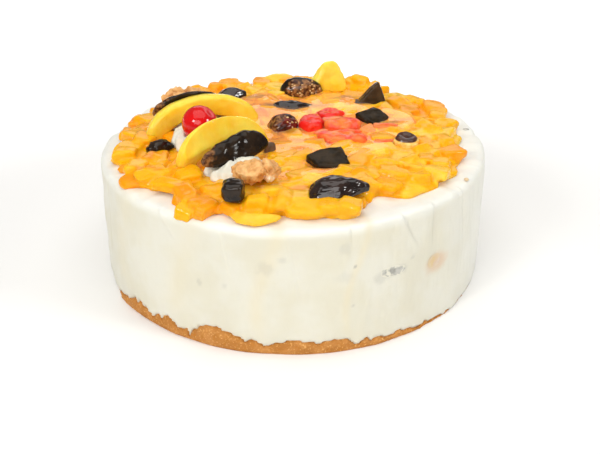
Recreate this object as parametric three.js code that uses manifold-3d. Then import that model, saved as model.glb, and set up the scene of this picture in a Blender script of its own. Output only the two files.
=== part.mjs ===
// Round cream cake on a biscuit base, topped with chopped peach and dark fig pieces.
// One side of the top carries a row of cream rosettes with peach arches, fig strips, walnuts and a cherry.
// Units are millimetres, +Z is up, and the origin is the middle of the underside.
import * as THREE from "three";
import { mergeVertices } from "three/addons/utils/BufferGeometryUtils.js";
import Module from "manifold-3d";

const wasm = await Module();
wasm.setup();

// Driving dimensions
const CAKE_RADIUS = 100;
const CREAM_TOP = 64;
const BASE_TOP = 6;
const SHOULDER = 5;
const BED_THICKNESS = 2.6;
const GAP = 0.3;

// Places worked out from the driving dimensions
const BED_TOP = CREAM_TOP + GAP + BED_THICKNESS;
const REST = BED_TOP + GAP;
const BASE_RADIUS = CAKE_RADIUS - 1;

// Rings of the turned pieces
const WALL_SEGMENTS = 70;
const SHOULDER_STEPS = 3;
const BED_SEGMENTS = 56;

const TAU = 2 * Math.PI;
const rad = THREE.MathUtils.degToRad;

// A repeatable sequence of numbers from 0 to 1.
function sequence(seed) {
  let state = seed >>> 0;
  return () => {
    state = (state + 0x6d2b79f5) >>> 0;
    let mixed = Math.imul(state ^ (state >>> 15), state | 1);
    mixed ^= mixed + Math.imul(mixed ^ (mixed >>> 7), mixed | 61);
    return ((mixed ^ (mixed >>> 14)) >>> 0) / 4294967296;
  };
}

// Rounded bumps round the cake: each has its angle, height and half width in degrees.
function bumps(list, angle) {
  let sum = 0;
  for (const { at, height, spread } of list) {
    const away = THREE.MathUtils.euclideanModulo(angle - rad(at) + Math.PI, TAU) - Math.PI;
    sum += height * Math.exp(-((away / rad(spread)) ** 2));
  }
  return sum;
}

// Solids

function solid(geometry) {
  const bare = geometry.clone();
  bare.deleteAttribute("normal");
  bare.deleteAttribute("uv");
  const merged = mergeVertices(bare, 1e-3);
  const triVerts = new Uint32Array(merged.index.array);
  const vertProperties = new Float32Array(merged.attributes.position.array);
  return new wasm.Manifold(new wasm.Mesh({ numProp: 3, vertProperties, triVerts }));
}

function geometryOf(body) {
  const { vertProperties, triVerts } = body.getMesh();
  const geometry = new THREE.BufferGeometry();
  geometry.setAttribute("position", new THREE.BufferAttribute(vertProperties, 3));
  geometry.setIndex(new THREE.BufferAttribute(triVerts, 1));
  geometry.computeVertexNormals();
  return geometry;
}

// The same solid with its skin moved out, to cut a seat with clearance into a softer neighbour.
function grown(body, by = GAP) {
  const geometry = geometryOf(body);
  const { position, normal } = geometry.attributes;
  for (let i = 0; i < position.count; i++) {
    position.setXYZ(
      i,
      position.getX(i) + by * normal.getX(i),
      position.getY(i) + by * normal.getY(i),
      position.getZ(i) + by * normal.getZ(i),
    );
  }
  return solid(geometry);
}

// The main body of a cut piece, without loose scraps.
function largest(body) {
  return body.decompose().reduce((most, other) => (other.volume() > most.volume() ? other : most));
}

function shaped(geometry, shape) {
  const { position } = geometry.attributes;
  const point = new THREE.Vector3();
  for (let i = 0; i < position.count; i++) {
    point.fromBufferAttribute(position, i);
    shape(point);
    position.setXYZ(i, point.x, point.y, point.z);
  }
  return geometry;
}

// A profile of [radius, height] points turned about Z, then shaped point by point.
function turned(profile, segments, shape) {
  const points = profile.map(([radius, height]) => new THREE.Vector2(radius, height));
  const geometry = new THREE.LatheGeometry(points, segments).rotateX(Math.PI / 2);
  return solid(shaped(geometry, shape));
}

// A unit ball with its poles on the X axis, shaped point by point.
function ball(columns, rows, shape) {
  const geometry = new THREE.SphereGeometry(1, columns, rows).rotateZ(-Math.PI / 2);
  return shaped(geometry, shape);
}

// Leans a piece about X, turns it about Z and sets its middle at a point, its lowest corner at a height.
function placed(geometry, { at, turn = 0, lean = 0, tip = 0, rest = REST }) {
  geometry.rotateY(rad(tip)).rotateX(rad(lean)).rotateZ(rad(turn));
  geometry.computeBoundingBox();
  geometry.translate(at[0], at[1], rest - geometry.boundingBox.min.z);
  return solid(geometry);
}

const soften = (value, power) => Math.sign(value) * Math.abs(value) ** power;

// Biscuit base: crumbs stand up the cream's side at the front and back, and the cream covers it at the sides.

const EDGE_HEIGHT = 4.2;
const EDGE_SWING = 2.6;
const EDGE_FRONT = rad(258);
const CRAGS = [
  { at: 247, height: 4.2, spread: 4 },
  { at: 231, height: 2.2, spread: 3 },
  { at: 219, height: 2.6, spread: 4 },
  { at: 239, height: -2.4, spread: 3 },
  { at: 263, height: -2.6, spread: 2.5 },
  { at: 287, height: -1.8, spread: 2 },
  { at: 64, height: 3, spread: 5 },
  { at: 92, height: 2, spread: 3 },
  { at: 108, height: -2, spread: 3 },
];
const FLARES = [
  { at: 212, height: 1.4, spread: 9 },
  { at: 250, height: 0.7, spread: 8 },
  { at: 40, height: 1.1, spread: 12 },
];

function edgeHeight(angle) {
  const ragged = 0.5 * Math.sin(23 * angle + 0.7) + 0.4 * Math.sin(37 * angle + 2.1);
  const sweep = EDGE_SWING * Math.cos(2 * (angle - EDGE_FRONT));
  return Math.max(1.2, EDGE_HEIGHT + sweep + bumps(CRAGS, angle) + ragged);
}

function baseFlare(angle) {
  const crumbly = 0.25 * Math.sin(17 * angle + 1.3) + 0.2 * Math.sin(31 * angle);
  return 1.2 + crumbly + bumps(FLARES, angle);
}

// Heights of the rim's points are shares of the edge height at their angle.
function biscuitBase() {
  const seat = BASE_RADIUS - 7;
  const profile = [
    [0, 0],
    [seat, 0],
    [BASE_RADIUS - 1.2, 0],
    [BASE_RADIUS, 0.3],
    [BASE_RADIUS - 0.1, 0.65],
    [BASE_RADIUS - 0.8, 1],
    [BASE_RADIUS - 2.2, 0.95],
    [seat, BASE_TOP],
    [0, BASE_TOP],
  ];
  return turned(profile, WALL_SEGMENTS, (point) => {
    const radius = Math.hypot(point.x, point.y);
    if (radius < seat + 1) return;
    const angle = Math.atan2(point.y, point.x);
    const scale = (radius + baseFlare(angle)) / radius;
    point.set(point.x * scale, point.y * scale, point.z * edgeHeight(angle));
  });
}

// Cream body: a smooth wall with faint knife panels, a soft shoulder and a flat top.

const PANELS = [
  { at: 309, height: -0.7, spread: 7 },
  { at: 321, height: 0.5, spread: 4 },
  { at: 286, height: 0.5, spread: 6 },
  { at: 231, height: 0.6, spread: 9 },
  { at: 192, height: 0.5, spread: 8 },
  { at: 150, height: -0.5, spread: 9 },
  { at: 70, height: 0.5, spread: 10 },
];
const LIP = [
  { at: 305, height: 1, spread: 14 },
  { at: 258, height: -0.8, spread: 12 },
  { at: 200, height: -0.8, spread: 16 },
  { at: 20, height: 0.6, spread: 15 },
];

function wallBulge(angle, share) {
  const waves = 0.25 * Math.sin(3 * angle + 0.4) + 0.2 * Math.sin(8 * angle + 2);
  return waves + bumps(PANELS, angle) * Math.sin(Math.PI * Math.min(1, 0.25 + share));
}

function creamBody(base) {
  const wall = CAKE_RADIUS - 1;
  const wallTop = CREAM_TOP - SHOULDER;
  const profile = [
    [0, 0.6],
    [wall - 0.6, 0.6],
  ];
  for (const share of [0.12, 0.35, 0.65, 0.9]) {
    profile.push([wall, share * wallTop]);
  }
  for (let step = 0; step <= SHOULDER_STEPS; step++) {
    const bend = (step / SHOULDER_STEPS) * (Math.PI / 2);
    const across = wall - SHOULDER * (1 - Math.cos(bend));
    profile.push([across, wallTop + SHOULDER * Math.sin(bend)]);
  }
  profile.push([wall - 12, CREAM_TOP], [0, CREAM_TOP]);
  const body = turned(profile, WALL_SEGMENTS, (point) => {
    const radius = Math.hypot(point.x, point.y);
    if (radius < wall - 11) return;
    const angle = Math.atan2(point.y, point.x);
    const share = point.z / CREAM_TOP;
    const edge = THREE.MathUtils.smoothstep(radius, wall - 12, wall - SHOULDER);
    const scale = (radius + edge * wallBulge(angle, share)) / radius;
    const lift = share > 0.95 ? edge * bumps(LIP, angle) : 0;
    point.set(point.x * scale, point.y * scale, point.z + lift);
  });
  return largest(body.subtract(base.translate(0, 0, GAP)));
}

// Fruit that shows in the cream's side: a flat bit whose outer face follows the wall.

function sideBit({ angle, height, size }) {
  const [long, tall, deep] = size;
  const geometry = ball(8, 6, (point) => {
    point.set((soften(point.x, 0.8) * long) / 2, point.y * deep, (soften(point.z, 0.8) * tall) / 2);
  });
  geometry.rotateZ(rad(angle + 90));
  const out = CAKE_RADIUS - 1.4;
  geometry.translate(out * Math.cos(rad(angle)), out * Math.sin(rad(angle)), height);
  return solid(geometry);
}

// Peach arch: a stone-fruit slice that stands on its two tips, with its round back up.

function peachArch({ chord, rise, flesh, thickness, ...place }) {
  const middle = chord / 2 - flesh / 2;
  const flatten = rise / (chord / 2);
  const geometry = ball(10, 12, (point) => {
    const along = Math.acos(THREE.MathUtils.clamp(point.x, -1, 1)) / Math.PI;
    const bend = rad(90) * (1 - 2 * along);
    const blunt = Math.sin(Math.PI * along) ** 0.55;
    const round = Math.hypot(point.y, point.z) || 1;
    const outward = point.z / round;
    const sideways = soften(point.y / round, 0.75);
    const reach = middle + blunt * (flesh / 2) * outward;
    const wedge = 0.66 + 0.34 * outward;
    point.set(
      reach * Math.sin(bend),
      blunt * (thickness / 2) * wedge * sideways,
      flatten * reach * Math.cos(bend),
    );
  });
  return placed(geometry, place);
}

// Peach chunk: a thick cut that stands on its broad end and narrows to a rounded top.

function peachChunk({ size, ...place }) {
  const [long, thick, tall] = size;
  const geometry = ball(10, 9, (point) => {
    const narrow = 1 - 0.3 * Math.max(0, point.z);
    point.set(
      (soften(point.x, 0.6) * long * narrow) / 2 + 0.06 * long * point.z,
      (soften(point.y, 0.6) * thick * narrow) / 2,
      (point.z > 0 ? 0.9 : 0.1) * soften(point.z, 0.85) * tall,
    );
  });
  return placed(geometry, place);
}

// Fig strip: a long slice of fig, bowed like the arch that it leans on. A heavy one is thicker at one end.

function figStrip({ size, bow, heavy = 0, ...place }) {
  const [long, thick, tall] = size;
  const geometry = ball(10, 10, (point) => {
    const { x } = point;
    const crease = 1 + 0.12 * Math.sin(5 * x + 1) * point.z;
    point.set(
      (soften(x, 0.9) * long) / 2,
      (soften(point.y, 0.7) * thick * crease) / 2,
      (soften(point.z, 0.8) * tall * (1 + heavy * x)) / 2 + bow * (1 - x * x),
    );
  });
  return placed(geometry, place);
}

// Fig half: lies on its flat cut side, with lengthwise wrinkles over its back.

function figHalf({ size, ...place }) {
  const [long, wide, tall] = size;
  const geometry = ball(12, 7, (point) => {
    const wrinkle = 1 + 0.08 * Math.cos(4 * Math.atan2(point.y, point.z) + 3 * point.x);
    point.set(
      (soften(point.x, 0.9) * long) / 2,
      (point.y * wide * wrinkle) / 2,
      point.z > 0 ? point.z * tall * wrinkle : 0.1 * point.z * tall,
    );
  });
  return placed(geometry, place);
}

// Cut chunk: an uneven block with a few straight sides and softened edges.

function cutChunk({ size, corners, seed, ...place }) {
  const [long, wide, tall] = size;
  const draw = sequence(seed);
  const bevel = Math.min(1.1, tall / 5);
  const outline = [];
  for (let corner = 0; corner < corners; corner++) {
    const angle = ((corner + 0.35 * (draw() - 0.5)) / corners) * TAU;
    const reach = 0.9 + 0.2 * draw();
    outline.push(
      new THREE.Vector2(
        Math.cos(angle) * reach * (long / 2 - bevel),
        Math.sin(angle) * reach * (wide / 2 - bevel),
      ),
    );
  }
  const settings = { depth: tall - 2 * bevel, bevelSize: bevel, bevelThickness: bevel, bevelSegments: 1 };
  const geometry = new THREE.ExtrudeGeometry(new THREE.Shape(outline), settings);
  const slope = [0.5 * (draw() - 0.5), 0.5 * (draw() - 0.5)];
  shaped(geometry, (point) => {
    if (point.z < tall / 2) return;
    point.z *= 1 + (slope[0] * point.x) / long + (slope[1] * point.y) / wide;
  });
  return placed(geometry, place);
}

// Fig wedge: a three-cornered cut that stands on its long edge.

function figWedge({ size, apex, ...place }) {
  const [long, thick, tall] = size;
  const bevel = 0.8;
  const outline = new THREE.Shape([
    new THREE.Vector2(bevel - long / 2, bevel),
    new THREE.Vector2(long / 2 - bevel, bevel),
    new THREE.Vector2(apex - bevel, tall - bevel),
  ]);
  const settings = { depth: thick - 2 * bevel, bevelSize: bevel, bevelThickness: bevel, bevelSegments: 1 };
  const geometry = new THREE.ExtrudeGeometry(outline, settings).rotateX(Math.PI / 2);
  return placed(geometry, place);
}

// Walnut half: two lobes with a groove between them and folds across each.

function walnutHalf({ size, seed, ...place }) {
  const [long, wide, tall] = size;
  const phase = sequence(seed)() * TAU;
  const geometry = ball(14, 11, (point) => {
    const groove = 0.22 * Math.exp(-((point.y / 0.2) ** 2)) * (point.z > 0 ? 1 : 0.4);
    const side = Math.sign(point.y) || 1;
    const folds = 0.09 * Math.sin(7 * point.x + 2.5 * side * point.y + 2 * point.z + phase);
    const knobs = 0.06 * Math.cos(5 * point.y - 4 * point.x + 2 * phase);
    const reach = 1 - groove + folds + knobs;
    point.set(
      (soften(point.x, 0.85) * long * (1 + folds)) / 2,
      (point.y * wide * reach) / 2,
      (point.z * tall * reach) / 2,
    );
  });
  return placed(geometry, place);
}

// Cream rosette: a low piped mound with flutes that wind to its top.

const FLUTES = 7;

function creamRosette({ size, ...place }) {
  const [long, wide, tall] = size;
  const geometry = new THREE.SphereGeometry(1, 21, 6).rotateX(Math.PI / 2);
  shaped(geometry, (point) => {
    const angle = Math.atan2(point.y, point.x);
    const round = Math.hypot(point.x, point.y);
    const flute = 1 + 0.08 * round * Math.cos(FLUTES * angle + 5 * point.z);
    point.set(
      (point.x * long * flute) / 2,
      (point.y * wide * flute) / 2,
      point.z > 0 ? point.z ** 0.9 * tall : 0.15 * point.z * tall,
    );
  });
  return placed(geometry, place);
}

// Cherry: a glossy ball with a dimple where the stem was.

function candiedCherry({ radius, dimple, ...place }) {
  const towards = new THREE.Vector3(...dimple).normalize();
  const geometry = ball(12, 9, (point) => {
    const facing = Math.max(0, point.dot(towards));
    point.multiplyScalar(radius * (1 - 0.16 * facing ** 14));
  });
  return placed(geometry, place);
}

// Chopped peach: cut blocks scattered in rings over a bed, each with jittered corners.

const SCATTER = { seed: 41, ring: 11.4, step: 13.8, inside: 8 };
const PIECE = { long: [12, 19], wide: [9, 13], tall: [4, 5.6], lean: 12, sink: 1.4 };
const NUDGE = { shift: 1.5, tries: 5 };
const OUTLINE_MEAN = 90;
const OUTLINE = [
  { at: 193, height: 4, spread: 9 },
  { at: 212, height: 8, spread: 6 },
  { at: 225, height: -12, spread: 5 },
  { at: 241, height: 9, spread: 5.5 },
  { at: 257, height: 4, spread: 5 },
  { at: 268, height: -3, spread: 4 },
  { at: 282, height: 2, spread: 6 },
  { at: 299, height: -9, spread: 7 },
  { at: 331, height: 1, spread: 8 },
  { at: 353, height: -3, spread: 9 },
  { at: 23, height: 3, spread: 9 },
  { at: 46, height: -5, spread: 9 },
  { at: 163, height: -7, spread: 14 },
];
// Cuts with a place of their own: one at the back, those along the front edge, of which some hang over
// the cream's shoulder, and three in front of the decoration.
const LARGE_CUTS = [
  { at: [40, 71], size: [13, 8, 11], turn: -35, lean: 14 },
  { at: [-13, -90], size: [21, 9, 5], turn: 4, lean: -8, rest: CREAM_TOP },
  { at: [-12, -78.5], size: [11, 8, 7], turn: -4, lean: 5 },
  { at: [0, -80], size: [10, 14, 7], turn: 12, lean: 6 },
  { at: [13, -88], size: [20, 7, 5.5], turn: 3, lean: -10 },
  { at: [26, -87.5], size: [9, 8, 6.5], turn: 30, lean: 8 },
  { at: [-47, -84], size: [15, 11, 8], turn: 62, lean: 20, rest: CREAM_TOP - 3 },
  { at: [-42, -88], size: [12, 9, 7], turn: 20, lean: 10, rest: CREAM_TOP - 2 },
  { at: [-48, -52], size: [15, 11, 6], turn: 40, lean: 8 },
  { at: [-57, -62], size: [17, 10, 5], turn: -25, lean: 6 },
  { at: [2, -56], size: [16, 11, 5], turn: 20, lean: -6 },
];

function outlineRadius(angle) {
  return OUTLINE_MEAN + bumps(OUTLINE, angle);
}

const between = ([low, high], share) => low + (high - low) * share;

// A block whose corners are pushed in by uneven amounts.
function choppedBlock([long, wide, tall], draw) {
  const corners = new Map();
  return shaped(new THREE.BoxGeometry(2, 2, 2), (point) => {
    const key = point.toArray().join();
    if (!corners.has(key)) corners.set(key, [draw(), draw(), draw()]);
    const [along, across, up] = corners.get(key);
    point.set(
      point.x * long * (0.5 - 0.2 * along),
      point.y * wide * (0.5 - 0.2 * across),
      point.z * tall * (0.5 - 0.15 * up),
    );
  });
}

function scatteredPlaces() {
  const draw = sequence(SCATTER.seed);
  const rings = Math.floor((OUTLINE_MEAN - SCATTER.inside) / SCATTER.ring) + 1;
  const places = [];
  for (let ring = 0; ring < rings; ring++) {
    const share = (ring + 0.35) / (rings - 0.65);
    const count = Math.max(3, Math.round((TAU * share * OUTLINE_MEAN) / SCATTER.step));
    for (let index = 0; index < count; index++) {
      const angle = ((index + 0.7 * (draw() - 0.5)) / count) * TAU + 1.9 * ring;
      const reach = share * (outlineRadius(angle) - SCATTER.inside) + 4 * (draw() - 0.5);
      places.push({
        at: [reach * Math.cos(angle), reach * Math.sin(angle)],
        size: [between(PIECE.long, draw()), between(PIECE.wide, draw()), between(PIECE.tall, draw())],
        turn: 360 * draw(),
        lean: 2 * PIECE.lean * (draw() - 0.5),
      });
    }
  }
  return places;
}

function middleOf(body) {
  const { min, max } = body.boundingBox();
  return new THREE.Vector2((min[0] + max[0]) / 2, (min[1] + max[1]) / 2);
}

// Moves a piece away from the toppings that it crosses. One that finds no room is left out.
function clearOf(seats, piece) {
  let moved = piece;
  for (let attempt = 0; attempt < NUDGE.tries; attempt++) {
    const crossed = seats.find((seat) => moved.intersect(seat).volume() > 0);
    if (!crossed) return moved;
    const away = middleOf(moved).sub(middleOf(crossed)).setLength(NUDGE.shift);
    moved = moved.translate(away.x, away.y, 0);
  }
  return null;
}

function peachTopping(cream, toppings) {
  const profile = [
    [0, CREAM_TOP - 1.5],
    [0.98, CREAM_TOP - 1.5],
    [0.98, BED_TOP - 1.6],
    [0.95, BED_TOP],
    [0, BED_TOP],
  ];
  const bed = turned(profile, BED_SEGMENTS, (point) => {
    const reach = outlineRadius(Math.atan2(point.y, point.x));
    point.set(point.x * reach, point.y * reach, point.z);
  });
  const seats = toppings.map((topping) => grown(topping));
  const draw = sequence(SCATTER.seed + 1);
  const rest = BED_TOP - PIECE.sink;
  const pieces = [];
  for (const { size, ...place } of [...LARGE_CUTS, ...scatteredPlaces()]) {
    const block = placed(choppedBlock(size, draw), { rest, ...place });
    const piece = clearOf(seats, block);
    if (piece) pieces.push(piece);
  }
  return largest(wasm.Manifold.union([bed, ...pieces]).subtract(grown(cream)));
}

// Materials

const surface = (color, roughness) => new THREE.MeshStandardMaterial({ color, roughness, metalness: 0 });
const FINISH = {
  biscuit: surface(0xc98538, 0.9),
  cream: surface(0xf6f1dd, 0.55),
  peach: surface(0xf7b41f, 0.25),
  fig: surface(0x1f1512, 0.15),
  redFruit: surface(0xee4a3c, 0.2),
  cherry: surface(0xdc1414, 0.12),
  walnut: surface(0xd79a55, 0.7),
};

const cake = new THREE.Group();

function add(name, body, material) {
  const mesh = new THREE.Mesh(geometryOf(body), material);
  mesh.name = name;
  cake.add(mesh);
}

// The decoration, from the front of the row to its back

const archFront = peachArch({
  at: [-33.6, -33], chord: 55, rise: 22.5, flesh: 16.5, thickness: 12, turn: 35, lean: 10,
});
const archBack = peachArch({
  at: [-47.5, 2], chord: 66, rise: 20.5, flesh: 18, thickness: 12, turn: 25, lean: -12,
});
const chunkBack = peachChunk({ at: [21.5, 66.5], size: [19.5, 9, 20], turn: 12, lean: -6 });
const stripFront = figStrip({
  at: [-27.5, -43.5], size: [39, 7, 12.5], bow: 0.5, heavy: 0.25, turn: 35, lean: -28, tip: -12, rest: 68.5,
});
const stripBack = figStrip({
  at: [-53, 12], size: [43, 6, 16], bow: 3.5, turn: 25, lean: 24, rest: 71.5,
});
const walnutFront = walnutHalf({
  at: [-16.5, -65], size: [24, 18, 11], turn: 14, lean: -18, seed: 5, rest: 70.5,
});
const walnutBack = walnutHalf({
  at: [-60, 37], size: [24, 18, 11], turn: 28, lean: 10, seed: 9, rest: 68,
});
const cherry = candiedCherry({ at: [-46, -17], radius: 9.1, dimple: [0.6, -0.1, 0.7], rest: 71.5 });

// The fig pieces and red fruit that lie in the chopped peach

const figPieces = {
  fig_half_front: figHalf({ at: [20, -73], size: [28, 17, 10], turn: 8 }),
  fig_half_middle: figHalf({ at: [0, 36], size: [22, 12, 5.5], turn: -4 }),
  fig_half_left: figHalf({ at: [-66, -21], size: [14, 11, 8], turn: 30 }),
  fig_half_behind: figHalf({ at: [-35, 53], size: [18, 14, 8], turn: 12 }),
  fig_half_back: figHalf({ at: [5, 58], size: [21, 14, 9.5], turn: -6, lean: 18 }),
  fig_half_seeded: figHalf({ at: [-5.5, 5], size: [17, 14, 8.5], turn: 20, lean: 10 }),
  fig_chunk_front: cutChunk({ at: [17, -39.5], size: [22, 20, 6.5], corners: 6, seed: 3, lean: 6 }),
  fig_chunk_right: cutChunk({ at: [43, 15], size: [17, 16, 6], corners: 5, seed: 8, turn: 20, lean: 8 }),
  fig_chunk_edge: cutChunk({ at: [-26, -82], size: [12, 11, 12], corners: 6, seed: 12, turn: 40 }),
  fig_wedge: figWedge({ at: [43, 44], size: [19, 8, 14], apex: 5, turn: 4, lean: -12 }),
  fig_disc: cutChunk({ at: [57, -17], size: [11.5, 10.5, 6], corners: 8, seed: 21, turn: 5 }),
  fig_bit: cutChunk({ at: [-11.5, -27], size: [6, 5, 7], corners: 5, seed: 30 }),
};
const redPieces = {
  red_fruit_left: cutChunk({ at: [9.5, 7], size: [13, 16, 6.5], corners: 6, seed: 14, turn: 10, lean: 6 }),
  red_fruit_back: cutChunk({ at: [20, 21], size: [16, 13, 6], corners: 5, seed: 15, turn: 25 }),
  red_fruit_middle: cutChunk({ at: [26.5, 3], size: [19, 12, 7.5], corners: 7, seed: 16, lean: 5 }),
  red_fruit_front: cutChunk({ at: [25, -11], size: [26, 11, 6], corners: 6, seed: 17, turn: -6 }),
};

// Soft pieces take the form of what is pressed into them: the cream fills the arches from both sides.

const strips = {
  fig_strip_front: stripFront.subtract(grown(archFront)),
  fig_strip_back: stripBack.subtract(grown(archBack)),
};
const hardPieces = [archFront, archBack, chunkBack, walnutFront, walnutBack, cherry];
const pressed = [...hardPieces, ...Object.values(strips), ...Object.values(figPieces)];

function pipedCream(neighbours, place) {
  const mound = neighbours.reduce((left, piece) => left.subtract(grown(piece)), creamRosette(place));
  return largest(mound);
}

const rosetteMiddle = pipedCream(pressed, { at: [-46.5, -14], size: [29, 32, 10], turn: 30 });
const rosettes = {
  cream_rosette_front: pipedCream([...pressed, rosetteMiddle], { at: [-27, -47], size: [30, 30, 7], turn: 35 }),
  cream_rosette_middle: rosetteMiddle,
  cream_rosette_back: pipedCream([...pressed, rosetteMiddle], { at: [-55, 18], size: [33, 31, 10], turn: 25 }),
};

// The body of the cake, with fruit bits set in the cream's side

const base = biscuitBase();
const sideBits = {
  side_fig_bit: sideBit({ angle: 297, height: 37.5, size: [13, 6, 1.6] }),
  side_peach_bit: sideBit({ angle: 311.5, height: 34.5, size: [9, 7.5, 1.6] }),
};
let cream = creamBody(base);
for (const bit of Object.values(sideBits)) cream = cream.subtract(grown(bit));

const toppings = [
  ...hardPieces,
  ...Object.values(strips),
  ...Object.values(figPieces),
  ...Object.values(redPieces),
  ...Object.values(rosettes),
];

add("biscuit_base", base, FINISH.biscuit);
add("cream_body", cream, FINISH.cream);
add("side_fig_bit", sideBits.side_fig_bit, FINISH.fig);
add("side_peach_bit", sideBits.side_peach_bit, FINISH.peach);
add("peach_topping", peachTopping(cream, toppings), FINISH.peach);
add("peach_arch_front", archFront, FINISH.peach);
add("peach_arch_back", archBack, FINISH.peach);
add("peach_chunk_back", chunkBack, FINISH.peach);
add("walnut_front", walnutFront, FINISH.walnut);
add("walnut_back", walnutBack, FINISH.walnut);
add("cherry", cherry, FINISH.cherry);
for (const [name, body] of Object.entries(strips)) add(name, body, FINISH.fig);
for (const [name, body] of Object.entries(figPieces)) add(name, body, FINISH.fig);
for (const [name, body] of Object.entries(redPieces)) add(name, body, FINISH.redFruit);
for (const [name, body] of Object.entries(rosettes)) add(name, body, FINISH.cream);

// The origin stands under the middle of the outline.
const middle = new THREE.Box3().setFromObject(cake).getCenter(new THREE.Vector3());
cake.position.set(-middle.x, -middle.y, 0);

export default cake;
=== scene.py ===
import math

import bmesh
import bpy
import numpy as np
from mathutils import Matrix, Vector, noise
from mathutils.bvhtree import BVHTree


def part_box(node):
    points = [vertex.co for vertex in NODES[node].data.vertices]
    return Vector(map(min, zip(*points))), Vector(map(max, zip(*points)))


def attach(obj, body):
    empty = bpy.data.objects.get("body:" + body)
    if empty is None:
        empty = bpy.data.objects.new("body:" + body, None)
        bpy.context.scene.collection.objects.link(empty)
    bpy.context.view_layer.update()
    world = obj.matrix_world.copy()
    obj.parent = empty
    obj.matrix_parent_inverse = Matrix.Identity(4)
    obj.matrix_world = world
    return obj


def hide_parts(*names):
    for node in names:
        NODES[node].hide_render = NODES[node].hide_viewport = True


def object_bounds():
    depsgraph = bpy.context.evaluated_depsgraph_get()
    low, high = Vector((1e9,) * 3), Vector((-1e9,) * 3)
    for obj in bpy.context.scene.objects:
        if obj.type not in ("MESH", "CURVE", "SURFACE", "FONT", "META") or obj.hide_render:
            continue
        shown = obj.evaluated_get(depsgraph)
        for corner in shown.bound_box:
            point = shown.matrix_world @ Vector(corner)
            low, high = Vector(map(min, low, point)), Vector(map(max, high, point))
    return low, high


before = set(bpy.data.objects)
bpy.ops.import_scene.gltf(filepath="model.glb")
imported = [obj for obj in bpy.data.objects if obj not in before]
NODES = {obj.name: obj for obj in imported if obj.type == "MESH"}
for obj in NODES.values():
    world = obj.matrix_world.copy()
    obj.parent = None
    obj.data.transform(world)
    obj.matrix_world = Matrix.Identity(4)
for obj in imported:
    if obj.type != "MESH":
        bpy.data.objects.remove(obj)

# Round cream cake with chopped peach, figs and a decorated row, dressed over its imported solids.
# Lengths are written in millimetres and turned into metres by MM, apart from the lamps. Angles are degrees
# from +X.

MM = 0.001
TAU = 2 * math.pi
CAD_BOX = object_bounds()
# Width of the photo and focal length of its camera, in pixels
PHOTO_WIDTH = 600
PHOTO_FOCAL = 900

# Sizes shared with the solids
CAKE_RADIUS = 100.0
CREAM_TOP = 64.0
SHOULDER = 5.0
WALL_RADIUS = 99.0
BED_TOP = 66.9
OUTLINE_MEAN = 90.0
# The widest place that a piece may have, and a distance that is clear of the whole cake
WIDEST = 100.2
CLEAR_OF_CAKE = 120.0
# Points of a solid that are nearer than this are one, and edges that bend more than this are sharp
WELD = 0.02
SHARP_ANGLE = math.radians(40)


# Small tools

def noise_at(points, size, octaves=2, shift=0.0):
    """Soft noise from about -1 to 1 with lumps of one size, in the units of the points."""
    offset = Vector((shift, 1.7 * shift, -0.6 * shift))
    scaled = np.asarray(points, float) / size
    return np.array([noise.fractal(Vector(p) + offset, 1.0, 2.0, octaves) for p in scaled])


def ridges_at(points, size, octaves=3, shift=0.0):
    """Sharp ridges between rounded hollows, from about 0 to 1."""
    offset = Vector((shift, -shift, 0.4 * shift))
    scaled = np.asarray(points, float) / size
    found = [noise.ridged_multi_fractal(Vector(p) + offset, 0.9, 2.1, octaves, 1.0, 2.0) for p in scaled]
    return np.clip(np.array(found) / 2.0, 0, 1)


def cells_at(points, size, shift=0.0):
    """Distance to the nearest of many scattered points, from 0 to about 1."""
    offset = Vector((shift, shift, shift))
    scaled = np.asarray(points, float) / size
    return np.array([noise.voronoi(Vector(p) + offset)[0][0] for p in scaled])


def step(low, high, value):
    """A soft step from 0 at one value to 1 at another, which may lie below the first."""
    share = np.clip((np.asarray(value, float) - low) / (high - low), 0, 1)
    return share * share * (3 - 2 * share)


def turn_from(at, degrees):
    """Degrees from one angle to others, from -180 to 180."""
    return (np.asarray(degrees, float) - at + 180) % 360 - 180


def bumps(table, degrees):
    """Rounded bumps round the cake, each given as angle, height and half width."""
    return sum(height * np.exp(-((turn_from(at, degrees) / spread) ** 2)) for at, height, spread in table)


def tips(table, degrees):
    """Pointed corners round the cake, each given as angle, height and half width."""
    return sum(
        height * np.clip(1 - np.abs(turn_from(at, degrees)) / spread, 0, 1) for at, height, spread in table
    )


def round_points(radius, degrees, height):
    """Points given by distance from the axis, angle and height."""
    angle = np.radians(degrees)
    spread = np.broadcast_arrays(radius * np.cos(angle), radius * np.sin(angle), height)
    return np.stack(spread, axis=-1).reshape(-1, 3)


def own_box(points):
    """The low and the high corner of a piece, and the place of each point between them, from 0 to 1."""
    low, high = points.min(0), points.max(0)
    return low, high, (points - low) / (high - low)


def sequence(seed):
    """The repeatable draws from 0 to 1 that also scatter the solid pieces."""
    word = 0xFFFFFFFF
    state = seed & word
    while True:
        state = (state + 0x6D2B79F5) & word
        mixed = ((state ^ (state >> 15)) * (state | 1)) & word
        mixed ^= (mixed + (((mixed ^ (mixed >> 7)) * (mixed | 61)) & word)) & word
        yield ((mixed ^ (mixed >> 14)) & word) / 4294967296


# Meshes and pieces

def mesh_piece(name, mesh, material):
    """A smooth piece from a mesh."""
    mesh.name = name
    mesh.shade_smooth()
    mesh.materials.clear()
    mesh.materials.append(material)
    piece = bpy.data.objects.new(name, mesh)
    bpy.context.scene.collection.objects.link(piece)
    return piece


def mesh_object(name, points, faces, material):
    """A smooth piece from points in millimetres."""
    mesh = bpy.data.meshes.new(name)
    mesh.from_pydata((np.asarray(points, float) * MM).tolist(), [], faces)
    mesh.validate()
    return mesh_piece(name, mesh, material)


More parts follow.
